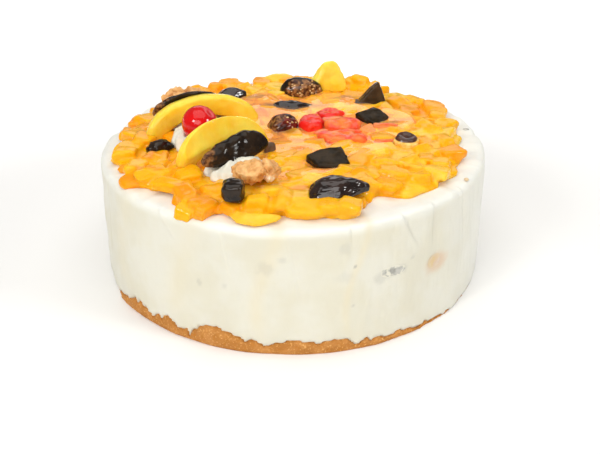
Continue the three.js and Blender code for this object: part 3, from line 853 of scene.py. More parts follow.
SCATTER_SEED = 41
RING_STEP, PIECE_STEP, INSIDE = 11.4, 13.8, 8.0
LONG, WIDE, TALL = (12, 19), (9, 13), (4, 5.6)
LEAN, SINK = 12.0, 1.4
HEAP_VOXEL, HEAP_RELAX = 0.75, 3
HEAP_FOOT = CREAM_TOP - 1.0
# The heap's outline in plan: angle, distance out and half width of its bays
OUTLINE = (
    (193, 4, 9), (212, 8, 6), (225, -12, 5), (241, 9, 5.5), (257, 4, 5), (268, -3, 4), (282, 2, 6),
    (299, -9, 7), (331, 1, 8), (353, -3, 9), (23, 3, 9), (46, -5, 9), (163, -7, 14),
)
# Corners of cut fruit along the heap's edge: those in the photo, then how far and how often others jut out
EDGE_TIPS = (
    (197, 4.0, 3.0), (205, 3.5, 3.0), (208.5, -7.0, 2.6), (216, 5.5, 4.5), (222.5, 8.0, 4.5),
    (228.5, -1.5, 2.5), (234, 2.0, 2.5), (241, 4.0, 5.0),
)
JUT_SEED, JUT_LEAST, JUT_MOST, JUT_OUT = 8, 3.5, 8.0, 2.2
BED_INSIDE = 2.4
# The bed of packed fruit from its foot up to the middle: share of the edge's radius and height
BED_SHARES = np.array([0.3, 0.9, 0.985, 1.0, 0.985, 0.95, 0.88, 0.75, 0.6, 0.45, 0.3, 0.15])
BED_HEIGHTS = np.array([62.2, 62.2, 62.6, 65.2, 66.4, 67.0, 67.5, 68.0, 68.2, 68.2, 68.2, 68.2])
# Large cuts: place, size, turn, lean and height of the lowest corner
LARGE_CUTS = (
    ((40, 71), (13, 8, 11), -35, 14, None),
    ((-16.3, -84.3), (12, 7, 7.5), -3, 4, None),
    ((8, -84), (22, 11, 5.5), 3, 16, CREAM_TOP - 0.5),
    ((23, -83), (12, 10, 5.5), 20, 16, CREAM_TOP - 0.5),
    ((-46, -80.5), (13, 11, 5.5), 62, 18, CREAM_TOP - 2),
    ((-38, -84), (12, 6, 7), 60, 16, CREAM_TOP - 1.5),
    ((-48, -52), (15, 11, 6), 40, 8, None),
    ((-57, -62), (17, 10, 5), -25, 6, None),
    ((2, -56), (16, 11, 5), 20, -6, None),
)
# More cuts that stand along the back and the left edge
MORE_CUTS = (
    ((10, 71), (13, 8, 9), 20, -25, None),
    ((34, 73), (10, 7, 8), -20, 22, None),
    ((50, 74), (6, 2.5, 9), -40, 30, CREAM_TOP - 0.5),
    ((-38, 77), (15, 9, 5.2), 15, 8, None),
    ((-57, 63), (10, 7, 6), 40, 10, None),
    ((22, 52), (15, 8, 6), 8, 10, None),
    ((33, 53), (11, 8, 6), -15, 12, None),
)
# Thin slices with pointed ends
SLICES = (
    ((-16, -89.6), (26, 7, 4.6), -8, 18, CREAM_TOP - 0.8),
    ((-4.5, -80.5), (19, 8, 8), 80, 16, None),
    ((-8, 82), (24, 10, 7), 2, 10, None),
)
# A cut under the dark chunk at the front edge
UNDER_CUT = ((-27, -83.5), (10, 9, 6.5), 50, 14, CREAM_TOP - 0.5)
# Cuts that close a gap beside the front slice and that reach over the rim at the left
LAST_CUTS = (
    ((-62, -55), (11, 8, 4.5), 30, 4, CREAM_TOP - 0.5),
    ((-83.2, 21.8), (14, 11, 6), 65, 5, CREAM_TOP - 1.4),
    ((-86, 5), (13, 9, 5.5), 85, 5, CREAM_TOP - 1.0),
)
# Tones of the cuts along the front, from 0 for deep orange to 1 for pale, by their places
OWN_TONES = {
    (-16.3, -84.3): 0.62, (-27, -83.5): 0.12, (-4.5, -80.5): 0.72, (-16, -89.6): 1.0, (-8, 82): 0.95,
    (8, -84): 0.5, (23, -83): 0.8,
}
# How much deeper the tones are at the left, and the places where that starts and is full
LEFT_DEEPER, LEFT_FROM, LEFT_TO = 0.25, 0, -70
# Where red juice has run: place and reach
RED_JUICE, RED_REACH = (30, 2), 20
# Corners of a block, how far each may be cut back as a share of its size, and how square its edges are
BOX_CORNERS = np.array([
    (1, 1, 1), (1, 1, -1), (1, -1, 1), (1, -1, -1), (-1, 1, -1), (-1, 1, 1), (-1, -1, -1), (-1, -1, 1),
])
LARGE_CUT_BACK, SMALL_CUT_BACK = np.array([0.26, 0.24, 0.15]), np.array([0.28, 0.3, 0.18])
BLOCK_POWERS, LENS_POWER = (5.0, 7.0, 9.0), 2.3


def outline_radius(degrees):
    return OUTLINE_MEAN + bumps(OUTLINE, degrees)


def heap_edge(degrees):
    """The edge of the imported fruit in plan, with its corners."""
    draws = np.random.default_rng(JUT_SEED)
    at, out = [0.0], [JUT_OUT]
    while at[-1] < 360 - JUT_MOST:
        at.append(at[-1] + draws.uniform(JUT_LEAST, JUT_MOST))
        out.append(-math.copysign(draws.uniform(0.2, 1.0) * JUT_OUT, out[-1]))
    jutting = np.interp(degrees, at, out, period=360) + tips(EDGE_TIPS, degrees)
    return outline_radius(degrees) - BED_INSIDE + jutting


def rounded_box(cuts, power):
    """A unit block with rounded edges: points and quads, with the shared edges welded."""
    ticks = np.sin(np.linspace(-1, 1, cuts + 1) * math.pi / 2)
    index = {}
    points, faces = [], []

    def corner(place):
        key = tuple(np.round(place, 6))
        if key not in index:
            index[key] = len(points)
            points.append(key)
        return index[key]

    for axis in range(3):
        for side in (-1, 1):
            across, along = (axis + 1) % 3, (axis + 2) % 3
            for i in range(cuts):
                for j in range(cuts):
                    quad = []
                    for u, v in ((i, j), (i + 1, j), (i + 1, j + 1), (i, j + 1)):
                        place = np.zeros(3)
                        place[axis], place[across], place[along] = side, ticks[u], ticks[v]
                        quad.append(corner(place))
                    faces.append(quad if side > 0 else quad[::-1])
    block = np.array(points)
    reach = (np.abs(block) ** power).sum(1) ** (1 / power)
    return block / reach[:, None], np.array(faces)


def cornered(block, corners):
    """Maps a unit block between eight moved corners."""
    weights = np.prod((1 + block[:, None, :] * BOX_CORNERS[None, :, :]) / 2, axis=2)
    return weights @ corners


def turn_matrix(lean, turn):
    """Leans about X, then turns about Z, in degrees."""
    lean, turn = math.radians(lean), math.radians(turn)
    about_x = np.array([[1, 0, 0], [0, math.cos(lean), -math.sin(lean)], [0, math.sin(lean), math.cos(lean)]])
    about_z = np.array([[math.cos(turn), -math.sin(turn), 0], [math.sin(turn), math.cos(turn), 0], [0, 0, 1]])
    return about_z @ about_x


def scattered_places():
    """The same rings of places that the solid heap has."""
    draw = sequence(SCATTER_SEED)
    rings = int((OUTLINE_MEAN - INSIDE) // RING_STEP) + 1
    places = []
    for ring in range(rings):
        share = (ring + 0.35) / (rings - 0.65)
        count = max(3, math.floor(TAU * share * OUTLINE_MEAN / PIECE_STEP + 0.5))
        for index in range(count):
            angle = (index + 0.7 * (next(draw) - 0.5)) / count * TAU + 1.9 * ring
            edge = float(outline_radius(math.degrees(angle)))
            reach = share * (edge - INSIDE) + 4 * (next(draw) - 0.5)
            size = [low + (high - low) * next(draw) for low, high in (LONG, WIDE, TALL)]
            turn = 360 * next(draw)
            lean = 2 * LEAN * (next(draw) - 0.5)
            places.append(((reach * math.cos(angle), reach * math.sin(angle)), size, turn, lean, None))
    return places


TOPPINGS = [
    name for name in NODES
    if name not in ("biscuit_base", "cream_body", "peach_topping", "side_fig_bit", "side_peach_bit")
]


def topping_trees():
    """A search tree, the low and the high corner of each topping."""
    trees = []
    for name in TOPPINGS:
        low, high = (np.array(corner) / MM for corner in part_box(name))
        trees.append((search_tree(NODES[name].data), low, high))
    return trees


def inside(tree, point):
    place, normal, _, _ = tree.find_nearest(Vector(point))
    return (Vector(point) - place).dot(normal) < 0


def crossed_topping(points, trees):
    """The middle of the first topping that holds any of the points."""
    low, high = points.min(0), points.max(0)
    for tree, bottom, top in trees:
        if (low > top).any() or (high < bottom).any():
            continue
        if any(inside(tree, point) for point in points):
            return (bottom + top) / 2
    return None


def moved_clear(points, trees, shift=1.5, tries=5):
    """Moves a piece away from a topping that it crosses, or gives None where there is no room."""
    probes = points[::7] * 0.75 + points.mean(0) * 0.25
    offset = np.zeros(3)
    for _ in range(tries):
        middle = crossed_topping(probes + offset, trees)
        if middle is None:
            return points + offset
        away = (probes + offset).mean(0) - middle
        away[2] = 0
        offset = offset + away / max(np.linalg.norm(away), 1e-6) * shift
    return None


def chopped_pieces(trees):
    """Every piece of chopped peach, as points, faces and its tone."""
    draw = sequence(SCATTER_SEED + 1)
    tones = np.random.default_rng(SCATTER_SEED)
    blocks = [rounded_box(6, power) for power in BLOCK_POWERS]
    lens = rounded_box(8, LENS_POWER)
    pieces = []
    cuts = [*LARGE_CUTS, *scattered_places(), *MORE_CUTS, *SLICES, UNDER_CUT, *LAST_CUTS]
    for number, cut in enumerate(cuts):
        at, size, turn, lean, rest = cut
        jitter = np.array([[next(draw) for _ in range(3)] for _ in BOX_CORNERS])
        corners = BOX_CORNERS * np.array(size) * (0.5 - LARGE_CUT_BACK * jitter)
        block, faces = lens if cut in SLICES else blocks[number % len(blocks)]
        form = cornered(block, corners * 1.14)
        bow = tones.uniform(-0.02, 0.035) * (form[:, 0] ** 2 - (size[0] / 3) ** 2)
        form[:, 2] -= 0.35 * bow
        form[:, 1] += bow
        form = form @ turn_matrix(lean, turn).T
        low = BED_TOP - SINK if rest is None else rest
        form += np.array([at[0], at[1], low - form[:, 2].min()])
        form = form if cut is UNDER_CUT else moved_clear(form, trees)
        if form is not None:
            tone = tones.beta(1.6, 1.6)
            pieces.append((form, faces, OWN_TONES.get(at, tone)))
    return pieces


def loose_bits(trees, count, seed, place_of, least, most):
    """Cut bits at random places, with sizes between two limits. For an angle, place_of gives the distance
    out, the lowest point and the turn."""
    draws = np.random.default_rng(seed)
    blocks = [rounded_box(5, power) for power in BLOCK_POWERS]
    pieces = []
    for number in range(count):
        angle = (number + draws.uniform(-0.4, 0.4)) * 360 / count
        reach, low, turn = place_of(angle, draws)
        size = draws.uniform(least, most)
        corners = BOX_CORNERS * size * (0.54 - SMALL_CUT_BACK * draws.random((8, 3)))
        block, faces = blocks[number % len(blocks)]
        form = cornered(block, corners) @ turn_matrix(draws.uniform(-14, 14), turn).T
        x, y = reach * math.cos(math.radians(angle)), reach * math.sin(math.radians(angle))
        form += np.array([x, y, low - form[:, 2].min()])
        form = moved_clear(form, trees, tries=2)
        if form is not None:
            pieces.append((form, faces, draws.beta(1.5, 1.6)))
    return pieces


# The left side, and how far edge bits turn from lying side by side there and elsewhere
LEFT_SIDE, LEFT_TURN, OTHER_TURN = (150, 232), 75, 32


def edge_place(angle, draws):
    """On the cream along the heap's edge: side by side, but pointing anywhere at the left."""
    spread = LEFT_TURN if LEFT_SIDE[0] < angle < LEFT_SIDE[1] else OTHER_TURN
    turn = angle + 90 + draws.uniform(-spread, spread)
    reach = float(outline_radius(angle)) - draws.uniform(7.0, 11.0)
    return reach, CREAM_TOP - draws.uniform(0.6, 1.4), turn


def filling_place(angle, draws):
    """Anywhere between the large pieces."""
    reach = math.sqrt(draws.uniform(0, 1)) * (float(outline_radius(angle)) - 10)
    return reach, BED_TOP + draws.uniform(-0.2, 1.6), draws.uniform(0, 360)


# Bits along the edge and between the large pieces: count, seed, how they are placed, smallest and largest
EDGE_BITS = (62, SCATTER_SEED + 5, edge_place, (9, 7, 3.4), (17, 11, 4.8))
SMALL_BITS = (150, SCATTER_SEED + 2, filling_place, (8, 5, 2.4), (15, 9, 3.8))


def joined(pieces):
    """One set of points, faces and tones from many pieces. The tones are for the faces."""
    points, faces, tones = [], [], []
    start = 0
    for form, quads, tone in pieces:
        points.append(form)
        faces.extend((np.asarray(quads) + start).tolist())
        tones.append(np.full(len(quads), tone))
        start += len(form)
    return np.vstack(points), faces, np.concatenate(tones)


def peach_bed():
    """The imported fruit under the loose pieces: points and faces."""
    columns = 480
    degrees = np.arange(columns) * 360 / columns
    radius = BED_SHARES[:, None] * heap_edge(degrees)[None, :]
    height = np.repeat(BED_HEIGHTS[:, None], columns, axis=1)
    lumps = noise_at(round_points(radius, degrees, height), 8.0, 3, 1.0).reshape(height.shape)
    return turned(radius, height + 0.6 * lumps * (height > CREAM_TOP + 1), degrees)


def flat_under(mesh, height):
    """Cuts a mesh off flat below a height and closes it."""
    body = bmesh.new()
    body.from_mesh(mesh)
    parts = [*body.verts, *body.edges, *body.faces]
    bmesh.ops.bisect_plane(
        body, geom=parts, plane_co=(0, 0, height * MM), plane_no=(0, 0, 1), clear_inner=True
    )
    open_edges = [edge for edge in body.edges if edge.is_boundary]
    bmesh.ops.holes_fill(body, edges=open_edges)
    body.to_mesh(mesh)
    body.free()


# Dark juice under the glaze beside the figs: place, half length, half width, turn and strength
DARK_JUICE = (
    ((27, 46), 11, 3.4, 2, 0.6), ((-22, 52), 11, 4.0, -3, 0.6), ((13, 33), 9, 4.0, -10, 0.5),
    ((54, 12), 7, 4.0, 10, 0.5), ((-12, 35), 7, 4.0, 8, 0.5), ((-4, -2), 9, 4.0, 0, 0.5),
    ((-34, 50), 12, 6.0, 0, 0.4), ((16, -46), 12, 4.0, 0, 0.3),
)


def steeped_places(spots):
    """How dark the juice has made each point, from 0 to 1."""
    total = np.zeros(len(spots))
    ragged = 0.25 * noise_at(spots, 5.0, 2, 17.0)
    for (x, y), long, wide, turn, strength in DARK_JUICE:
        turn = math.radians(turn)
        along = (spots[:, 0] - x) * math.cos(turn) + (spots[:, 1] - y) * math.sin(turn)
        across = (spots[:, 1] - y) * math.cos(turn) - (spots[:, 0] - x) * math.sin(turn)
        away = np.hypot(along / long, across / wide) + ragged
        total = np.maximum(total, strength * step(1.4, 0.0, away))
    return total


def chopped_peach(trees):
    """All cut pieces and their bed, packed into one wet skin. Each point takes the tone of its piece."""
    bits = loose_bits(trees, *EDGE_BITS) + loose_bits(trees, *SMALL_BITS)
    points, faces, tones = joined(chopped_pieces(trees) + bits)
    bed_points, bed_faces = peach_bed()
    bed_faces = [[index + len(points) for index in face] for face in bed_faces]
    tree = BVHTree.FromPolygons([Vector(point) for point in points], faces)
    rough = mesh_object("rough_heap", np.vstack([points, bed_points]), faces + bed_faces, PEACH)
    fine = evened(rough.data, HEAP_VOXEL, 0, HEAP_RELAX)
    bpy.data.objects.remove(rough)
    flat_under(fine, HEAP_FOOT)
    piece = mesh_piece("chopped_peach", fine, PEACH)
    spots = points_of(piece)
    nearest = np.array([tree.find_nearest(Vector(spot))[2] for spot in spots])
    tone = softened(fine, tones[nearest], 2)
    height = spots[:, 2]
    # Painted shade: points that lie lower than their neighbours take the deeper gap colour.
    mark(piece, "hollow_shade", np.clip(0.6 * (softened(fine, height, 50) - height), 0, 1))
    mark(piece, "tone", tone - LEFT_DEEPER * step(LEFT_FROM, LEFT_TO, spots[:, 0]))
    away = np.linalg.norm(spots[:, :2] - RED_JUICE, axis=1)
    some_pieces = np.sin(tone * 97) > -0.2
    mark(piece, "stain", np.exp(-((away / RED_REACH) ** 4)) * some_pieces)
    mark(piece, "steeped", steeped_places(spots))
    streaks = noise_at(spots * np.array([0.4, 1.0, 1.0]), 5.0, 2, 12.0)
    amber = cover_at(AMBER_SPOTS, spots[:, 0], spots[:, 1])
    mark(piece, "amber", np.clip(amber * (0.8 + 0.8 * streaks), 0, 1))
    ripple = np.stack([noise_at(spots, 8.0, 2, 9.0 + axis) for axis in range(3)], -1)
    spots = spots + ripple * np.array([0.9, 0.9, 0.35])
    span = np.hypot(spots[:, 0], spots[:, 1])
    spots[:, :2] *= np.minimum(1, WIDEST / np.maximum(span, 1e-6))[:, None]
    over = np.clip(span - (CAKE_RADIUS - SHOULDER), 0, SHOULDER)
    spots[:, 2] -= SHOULDER - np.sqrt(SHOULDER**2 - over**2)
    move_points(piece, spots)
    return dress(piece, "peach", "peach_topping")


# Places where the glaze stands in a level pool over the fruit: x, y, radius and share of cover
POOLS = (
    (-5, 24, 30, 1.0), (24, 34, 26, 1.0), (-28, 46, 20, 0.9), (58, 16, 20, 0.9), (-6, -16, 22, 0.4),
    (24, 4, 18, 0.9), (-44, -66, 16, 0.7), (-68, -42, 14, 0.6), (14, -58, 14, 0.6), (40, -30, 14, 0.5),
)
# How far out the glaze reaches: mean, then angle, distance and half width of its bays
GLAZE_REACH = 62.0
GLAZE_BAYS = ((15, 14, 16), (90, 10, 25), (180, -16, 35), (315, -8, 20), (230, -6, 20), (272, 6, 14))
# How far the thin film lies below the fruit's upper side, and a pool above it
FILM_BELOW, POOL_ABOVE = 0.7, 0.7
# Heights of the glaze's underside and of its edge, and its least thickness
GLAZE_FOOT, GLAZE_EDGE, THINNEST = CREAM_TOP + 0.3, CREAM_TOP + 0.5, 0.05
# Places where deep glaze tints the fruit: x, y, radius and strength
AMBER_SPOTS = (
    (1, -14, 21, 0.9), (-12, 32, 21, 0.9), (15, 48, 18, 0.5), (24, 4, 16, 0.5), (57, 29, 16, 0.25),
)


def cover_at(table, x, y):
    """The share of cover at each place, from 0 to 1. A line of the table is x, y, radius and share."""
    total = np.zeros_like(x)
    for at_x, at_y, radius, cover in table:
        away = np.hypot(x - at_x, y - at_y) / radius
        total = np.maximum(total, cover * step(1.15, 0.6, away))
    return total


def top_heights(tree, half):
    """Heights of the fruit's upper side on a grid of one millimetre."""
    ticks = np.arange(-half, half + 1)
    down = Vector((0, 0, -1))
    heights = np.full((len(ticks), len(ticks)), CREAM_TOP - 0.5)
    for row, y in enumerate(ticks):
        for column, x in enumerate(ticks):
            hit = tree.ray_cast(Vector((x, y, CLEAR_OF_CAKE)), down)[0]
            if hit is not None:
                heights[row, column] = hit.z
    return heights


def blanket(heights, reach, spread):
    """The highest value near each place, then smoothed."""
    raised = heights.copy()
    for row in range(-reach, reach + 1):
        for column in range(-reach, reach + 1):
            if row * row + column * column <= reach * reach + 1:
                raised = np.maximum(raised, np.roll(heights, (row, column), (0, 1)))
    width = math.ceil(2.5 * spread)
    shifts = np.arange(-width, width + 1)
    weights = np.exp(-0.5 * (shifts / spread) ** 2)
    weights /= weights.sum()
    for axis in (0, 1):
        raised = sum(weight * np.roll(raised, shift, axis) for weight, shift in zip(weights, shifts))
    return raised


def sampled(grid, half, x, y):
    """Values of the grid between its places."""
    column = np.clip(x + half, 0, 2 * half - 1.001)
    row = np.clip(y + half, 0, 2 * half - 1.001)
    left, low = column.astype(int), row.astype(int)
    across, up = column - left, row - low
    near = grid[low, left] * (1 - across) + grid[low, left + 1] * across
    far = grid[low + 1, left] * (1 - across) + grid[low + 1, left + 1] * across
    return near * (1 - up) + far * up


def glaze(fruit):
    """The clear glaze: a blanket over the fruit that fills its gaps and pools over the middle."""
    columns, rows, half = 320, 110, 104
    degrees = np.arange(columns) * 360 / columns
    share = np.linspace(0.01, 1.0, rows)
    ragged = noise_at(round_points(1.0, degrees, 0.0), 0.35, 2, 6.0)
    edge = GLAZE_REACH + bumps(GLAZE_BAYS, degrees) + 3.0 * ragged
    radius = share[:, None] * edge[None, :]
    x, y, _ = round_points(radius, degrees, 0.0).T.reshape(3, rows, columns)
    heights = top_heights(search_tree(fruit.data), half)
    film = sampled(blanket(heights, 2, 2.4), half, x, y) - FILM_BELOW
    level = sampled(blanket(heights, 2, 7.0), half, x, y) + POOL_ABOVE
    cover = cover_at(POOLS, x, y)
    surface = film * (1 - cover) + level * cover
    fade = step(0.86, 1.0, share)[:, None]
    surface = surface * (1 - fade) + GLAZE_EDGE * fade
    under = np.full_like(surface, GLAZE_FOOT)
    surface = np.maximum(surface, under + THINNEST)
    points, faces = turned(np.vstack([radius, radius[::-1] * 0.995]), np.vstack([surface, under]), degrees)
    piece = mesh_object("glaze", points, [face[::-1] for face in faces], GEL)
    return dress(piece, "peach")


# Shaping tools for the decoration

def long_axis(points):
    """The direction in plan in which a piece is longest, pointing to the right."""
    flat = points[:, :2] - points[:, :2].mean(0)
    _, _, axes = np.linalg.svd(flat, full_matrices=False)
    return np.append(axes[0] * math.copysign(1.0, axes[0, 0]), 0.0)


def wrinkles(points, squeeze, size, shift):
    """Ridges that run along a piece's length."""
    axis = long_axis(points)
    stretched = points - np.outer(points @ axis, axis) * (1 - squeeze)
    return ridges_at(stretched, size, 3, shift)


def pressed(piece, flatten):
    """Presses a piece down to a share of its height."""
    points = points_of(piece)
    low = points[:, 2].min()
    points[:, 2] = low + (points[:, 2] - low) * flatten
    move_points(piece, points)


def sloped(piece, slope):
    """Lowers the front edge of a piece, by a share of its height."""
    points = points_of(piece)
    low, _, share = own_box(points)
    points[:, 2] = low[2] + (points[:, 2] - low[2]) * (1 - slope * step(0.8, 0.0, share[:, 1]))
    move_points(piece, points)


def pointed(piece, narrow, lift):
    """Draws the right end of a piece to a point in plan and lifts its foot, by shares of its size."""
    points = points_of(piece)
    low, high, share = own_box(points)
    end = step(0.4, 1.0, share[:, 0])
    middle = low[1] + 0.45 * (high[1] - low[1])
    points[:, 1] = middle + (points[:, 1] - middle) * (1 - narrow * end)
    points[:, 2] = high[2] - (high[2] - points[:, 2]) * (1 - lift * end)
    move_points(piece, points)


def domed(piece, dome):
    """Rounds the top of a piece off, by a depth in millimetres."""
    points = points_of(piece)
    _, _, share = own_box(points)
    out = np.linalg.norm(share[:, :2] - 0.5, axis=1) * 2
    points[:, 2] -= dome * out**2 * step(0.4, 1.0, share[:, 2])
    move_points(piece, points)


def raised_end(piece, lift):
    """Lifts the left end of a strip, so that it lies flatter across its slice."""
    points = points_of(piece)
    _, _, share = own_box(points)
    points[:, 2] += lift * (1 - share[:, 0])
    move_points(piece, points)


def widened(piece, wider, back):
    """Draws a piece out to the left and right, by a share of its width, and moves it back."""
    points = points_of(piece)
    low, high, _ = own_box(points)
    points[:, 0] += wider * (points[:, 0] - (low[0] + high[0]) / 2)
    points[:, 1] += back
    move_points(piece, points)
    return piece


def rounded_off(piece, power, lift):
    """Draws a piece into a rounded lump in its own box, and lifts its foot by millimetres."""
    low, high, share = own_box(points_of(piece))
    low[2] += lift
    unit = 2 * share - 1
    unit /= ((np.abs(unit) ** power).sum(1) ** (1 / power))[:, None]
    move_points(piece, (low + high) / 2 + unit * (high - low) / 2)
    push(piece, 0.5 * noise_at(points_of(piece), 5.0, 2, power) - 0.3)


# Corners of the two dark chunks in plan
CHUNK_FRONT = ((6.0, -38.6), (15.3, -34.4), (23.6, -31.6), (27.0, -44.6), (20.4, -47.2), (11.5, -46.4))
CHUNK_RIGHT = ((33.0, 16.6), (43.4, 24.0), (47.4, 20.2), (51.0, 14.6), (42.6, 7.8), (35.2, 13.6))
SECTORS = 60


def replanned(piece, corners):
    """Draws a piece's outline in plan out to the given corners. Its own outline is found in sectors."""
    corners = np.array(corners)
    sector = 360 // SECTORS
    share = np.linspace(0, 1, 24, endpoint=False)[:, None]
    after = np.roll(corners, -1, axis=0)
    edge = np.vstack([first + share * (second - first) for first, second in zip(corners, after)])
    middle = edge.mean(0)
    edge_bearing = np.degrees(np.arctan2(*(edge - middle).T[::-1]))
    points = points_of(piece)
    away = points[:, :2] - (points.min(0) + points.max(0))[:2] / 2
    bearing = np.degrees(np.arctan2(away[:, 1], away[:, 0])) % 360
    distance = np.linalg.norm(away, axis=1)
    reach = np.zeros(SECTORS)
    np.maximum.at(reach, (bearing // sector).astype(int) % SECTORS, distance)
    own = np.interp(bearing, sector * (np.arange(SECTORS) + 0.5), reach, period=360)
    wanted = np.interp(bearing, edge_bearing, np.linalg.norm(edge - middle, axis=1), period=360)
    points[:, :2] = middle + away * (wanted / own)[:, None]
    move_points(piece, points)


# Decoration

# How far the cut face of a slice stands in front of its middle, at the foot and at the top
CUT_FACE = (5.0, 1.4)
# How far a slice swells at its foot, and the depths of its waves and fibres
FOOT_SWELL, SLICE_WAVES, SLICE_FIBRES = 1.3, 0.22, 0.06


def peach_slice(node, longer, anchor, lean):
    """A standing slice: rounded back, flat cut face and fine fibres. Longer is a share of its length, which
    is added beyond the anchor, a share along it. Lean is how far its top stands back, in millimetres."""
    piece = refined(node, node + "_piece", ARCH, 0.5, 2, 5, 0.75)
    share = own_box(points_of(piece))[2][:, 2]
    push(piece, FOOT_SWELL * step(0.55, 0.0, share))
    points = points_of(piece)
    axis = long_axis(points)
    front = np.array([axis[1], -axis[0], 0.0])
    along = points @ axis
    fixed = along.min() + anchor * np.ptp(along)
    across = (points - (points.min(0) + points.max(0)) / 2) @ front
    face = CUT_FACE[0] + (CUT_FACE[1] - CUT_FACE[0]) * share
    back = np.clip(across - face, 0, None) + lean * share
    points = points + np.outer(longer * (along - fixed), axis) - np.outer(back, front)
    move_points(piece, points)
    push(piece, SLICE_WAVES * noise_at(points, 9.0, 2, 2.0) + SLICE_FIBRES * noise_at(points, 2.4, 2, 7.0))
    # Painted light: the tone is paler where the slice faces up and deeper orange where it faces down.
    facing = normals_of(piece)[:, 2]
    mark(piece, "tone", np.clip(0.72 + 0.25 * facing + 0.25 * noise_at(points, 8.0, 2, 4.0), 0, 1))
    return dress(piece, "peach", node)


# Width of the tall chunk at its foot and at its top, as shares, and how far its foot stands to the left
CHUNK_FOOT, CHUNK_TOP, CHUNK_SHIFT = 1.25, 0.89, 2.0


def standing_chunk(node):
    """The tall chunk at the back: narrow at the top, with a wide foot."""
    piece = refined(node, node + "_piece", ARCH, 0.5, 2, 4)
    points = points_of(piece)
    low, high, share = own_box(points)
    up = share[:, 2]
    middle = (low[0] + high[0]) / 2
    spread = CHUNK_FOOT + (CHUNK_TOP - CHUNK_FOOT) * step(0.1, 0.9, up)
    points[:, 0] = middle + (points[:, 0] - middle) * spread - CHUNK_SHIFT * (1 - up)
    move_points(piece, points)
    points = points_of(piece)
    push(piece, 0.9 * noise_at(points, 8.0, 2, 2.5) + 0.1 * noise_at(points, 2.4, 2, 7.0))
    # Painted light: the tone is paler towards the top of the chunk.
    mark(piece, "tone", np.clip(0.6 + 0.6 * up + 0.25 * noise_at(points, 6.0, 2, 4.0), 0, 1))
    domed(piece, 3.0)
    return dress(piece, "peach", node)


# Face size of a fig, how much its folds are drawn out along it, and the level of its skin between them
FIG_VOXEL, FOLD_SQUEEZE, FOLD_MIDDLE = 0.4, 0.25, 0.45


def dark_fig(
    node, material, shift, rounds=2, relax=4, depth=0.5, size=6.0, crisp=0.0, flatten=1.0, waves=0.4,
):
    """A candied fig piece with its wrinkles. Flatten presses it down a little, crisp keeps its cut edges."""
    piece = refined(node, node + "_piece", material, FIG_VOXEL, rounds, relax, crisp)
    points = points_of(piece)
    folds = wrinkles(points, FOLD_SQUEEZE, size, shift)
    push(piece, depth * (folds - FOLD_MIDDLE) + waves * noise_at(points, 7.0, 2, shift))
    pressed(piece, flatten)
    return dress(piece, "fig", node)


def open_face(piece, towards, shift):
    """Marks the cut face of a fig, which looks in one direction."""
    facing = normals_of(piece) @ np.array(towards)
    mark(piece, "cut", step(0.5, 0.85, facing + 0.25 * noise_at(points_of(piece), 4.0, 2, shift)))


def torn_end(piece, shift):
    """Marks the left end of a strip, where the skin is torn and the flesh shows."""
    points = points_of(piece)
    _, _, share = own_box(points)
    mark(piece, "cut", 0.8 * step(0.3, 0.1, share[:, 0] + 0.12 * noise_at(points, 2.5, 2, shift)))


# Depth of the disc's dish, how far it rises and tilts, and how much wider its rind is
DISC_DISH, DISC_RISE, DISC_TILT, RIND_WIDER = 0.9, 0.6, 0.2, 0.14


def fig_disc(shift):
    """A round slice with a dished top on a pale rind."""
    piece = dark_fig("fig_disc", FIG_DISC, shift, 2, 4, 0.2, 5.0, 0.2)
    points = points_of(piece)
    low, high, share = own_box(points)
    middle = (low + high) / 2
    up = share[:, 2]
    out = np.linalg.norm(share[:, :2] - 0.5, axis=1) * 2
    points[:, 2] -= DISC_DISH * step(0.75, 0.2, out) * step(0.6, 0.9, up)
    points[:, 2] += up * (DISC_RISE + DISC_TILT * (points[:, 1] - middle[1]))
    points[:, :2] += (points - middle)[:, :2] * RIND_WIDER * step(0.8, 0.6, up)[:, None]
    move_points(piece, points)
    mark(piece, "cut", step(0.82, 0.7, up))


def seed_mesh(fineness=2):
    """A unit ball of small triangles: points and faces."""
    body = bmesh.new()
    bmesh.ops.create_icosphere(body, subdivisions=fineness, radius=1.0)
    points = np.array([vertex.co[:] for vertex in body.verts])
    faces = np.array([[vertex.index for vertex in face.verts] for face in body.faces])
    body.free()
    return points, faces


def small_things(name, bodies, material, slot):
    """One piece from many small bodies, each given as points and faces."""
    points, faces, _ = joined([(*body, 0) for body in bodies])
    return dress(mesh_object(name, points, faces, material), slot)


SEEDS_SEED, SEED_SHAPE, SEED_SIZES = 77, np.array([1.35, 0.85, 0.75]), (0.45, 0.75)


def fig_seeds(name, hosts, towards, counts):
    """Seeds half sunk in the cut faces of the figs."""
    draws = np.random.default_rng(SEEDS_SEED)
    form, faces = seed_mesh()
    seeds = []
    for host, count in zip(hosts, counts):
        points, normals = points_of(host), normals_of(host)
        facing = np.nonzero(normals @ np.array(towards) > 0.72)[0]
        for index in draws.choice(facing, min(count, len(facing)), replace=False):
            size = draws.uniform(*SEED_SIZES) * SEED_SHAPE
            seed = (form * size) @ turn_matrix(draws.uniform(-60, 60), draws.uniform(0, 360)).T
            seeds.append((seed + points[index] + 0.1 * normals[index], faces))
    return small_things(name, seeds, SEED, "fig")


RED_SWELL, RED_FLATTEN = 0.9, 0.82


def red_piece(node, material, shift):
    """A candied strip, pressed flat into the glaze."""
    piece = refined(node, node + "_piece", material, 0.45, 2, 3, 0.25)
    points = points_of(piece)
    waves = 1.1 * noise_at(points, 5.0, 2, shift) + 0.15 * noise_at(points, 1.8, 2, shift)
    push(piece, waves + RED_SWELL)
    pressed(piece, RED_FLATTEN)
    return dress(piece, "red_fruit", node)


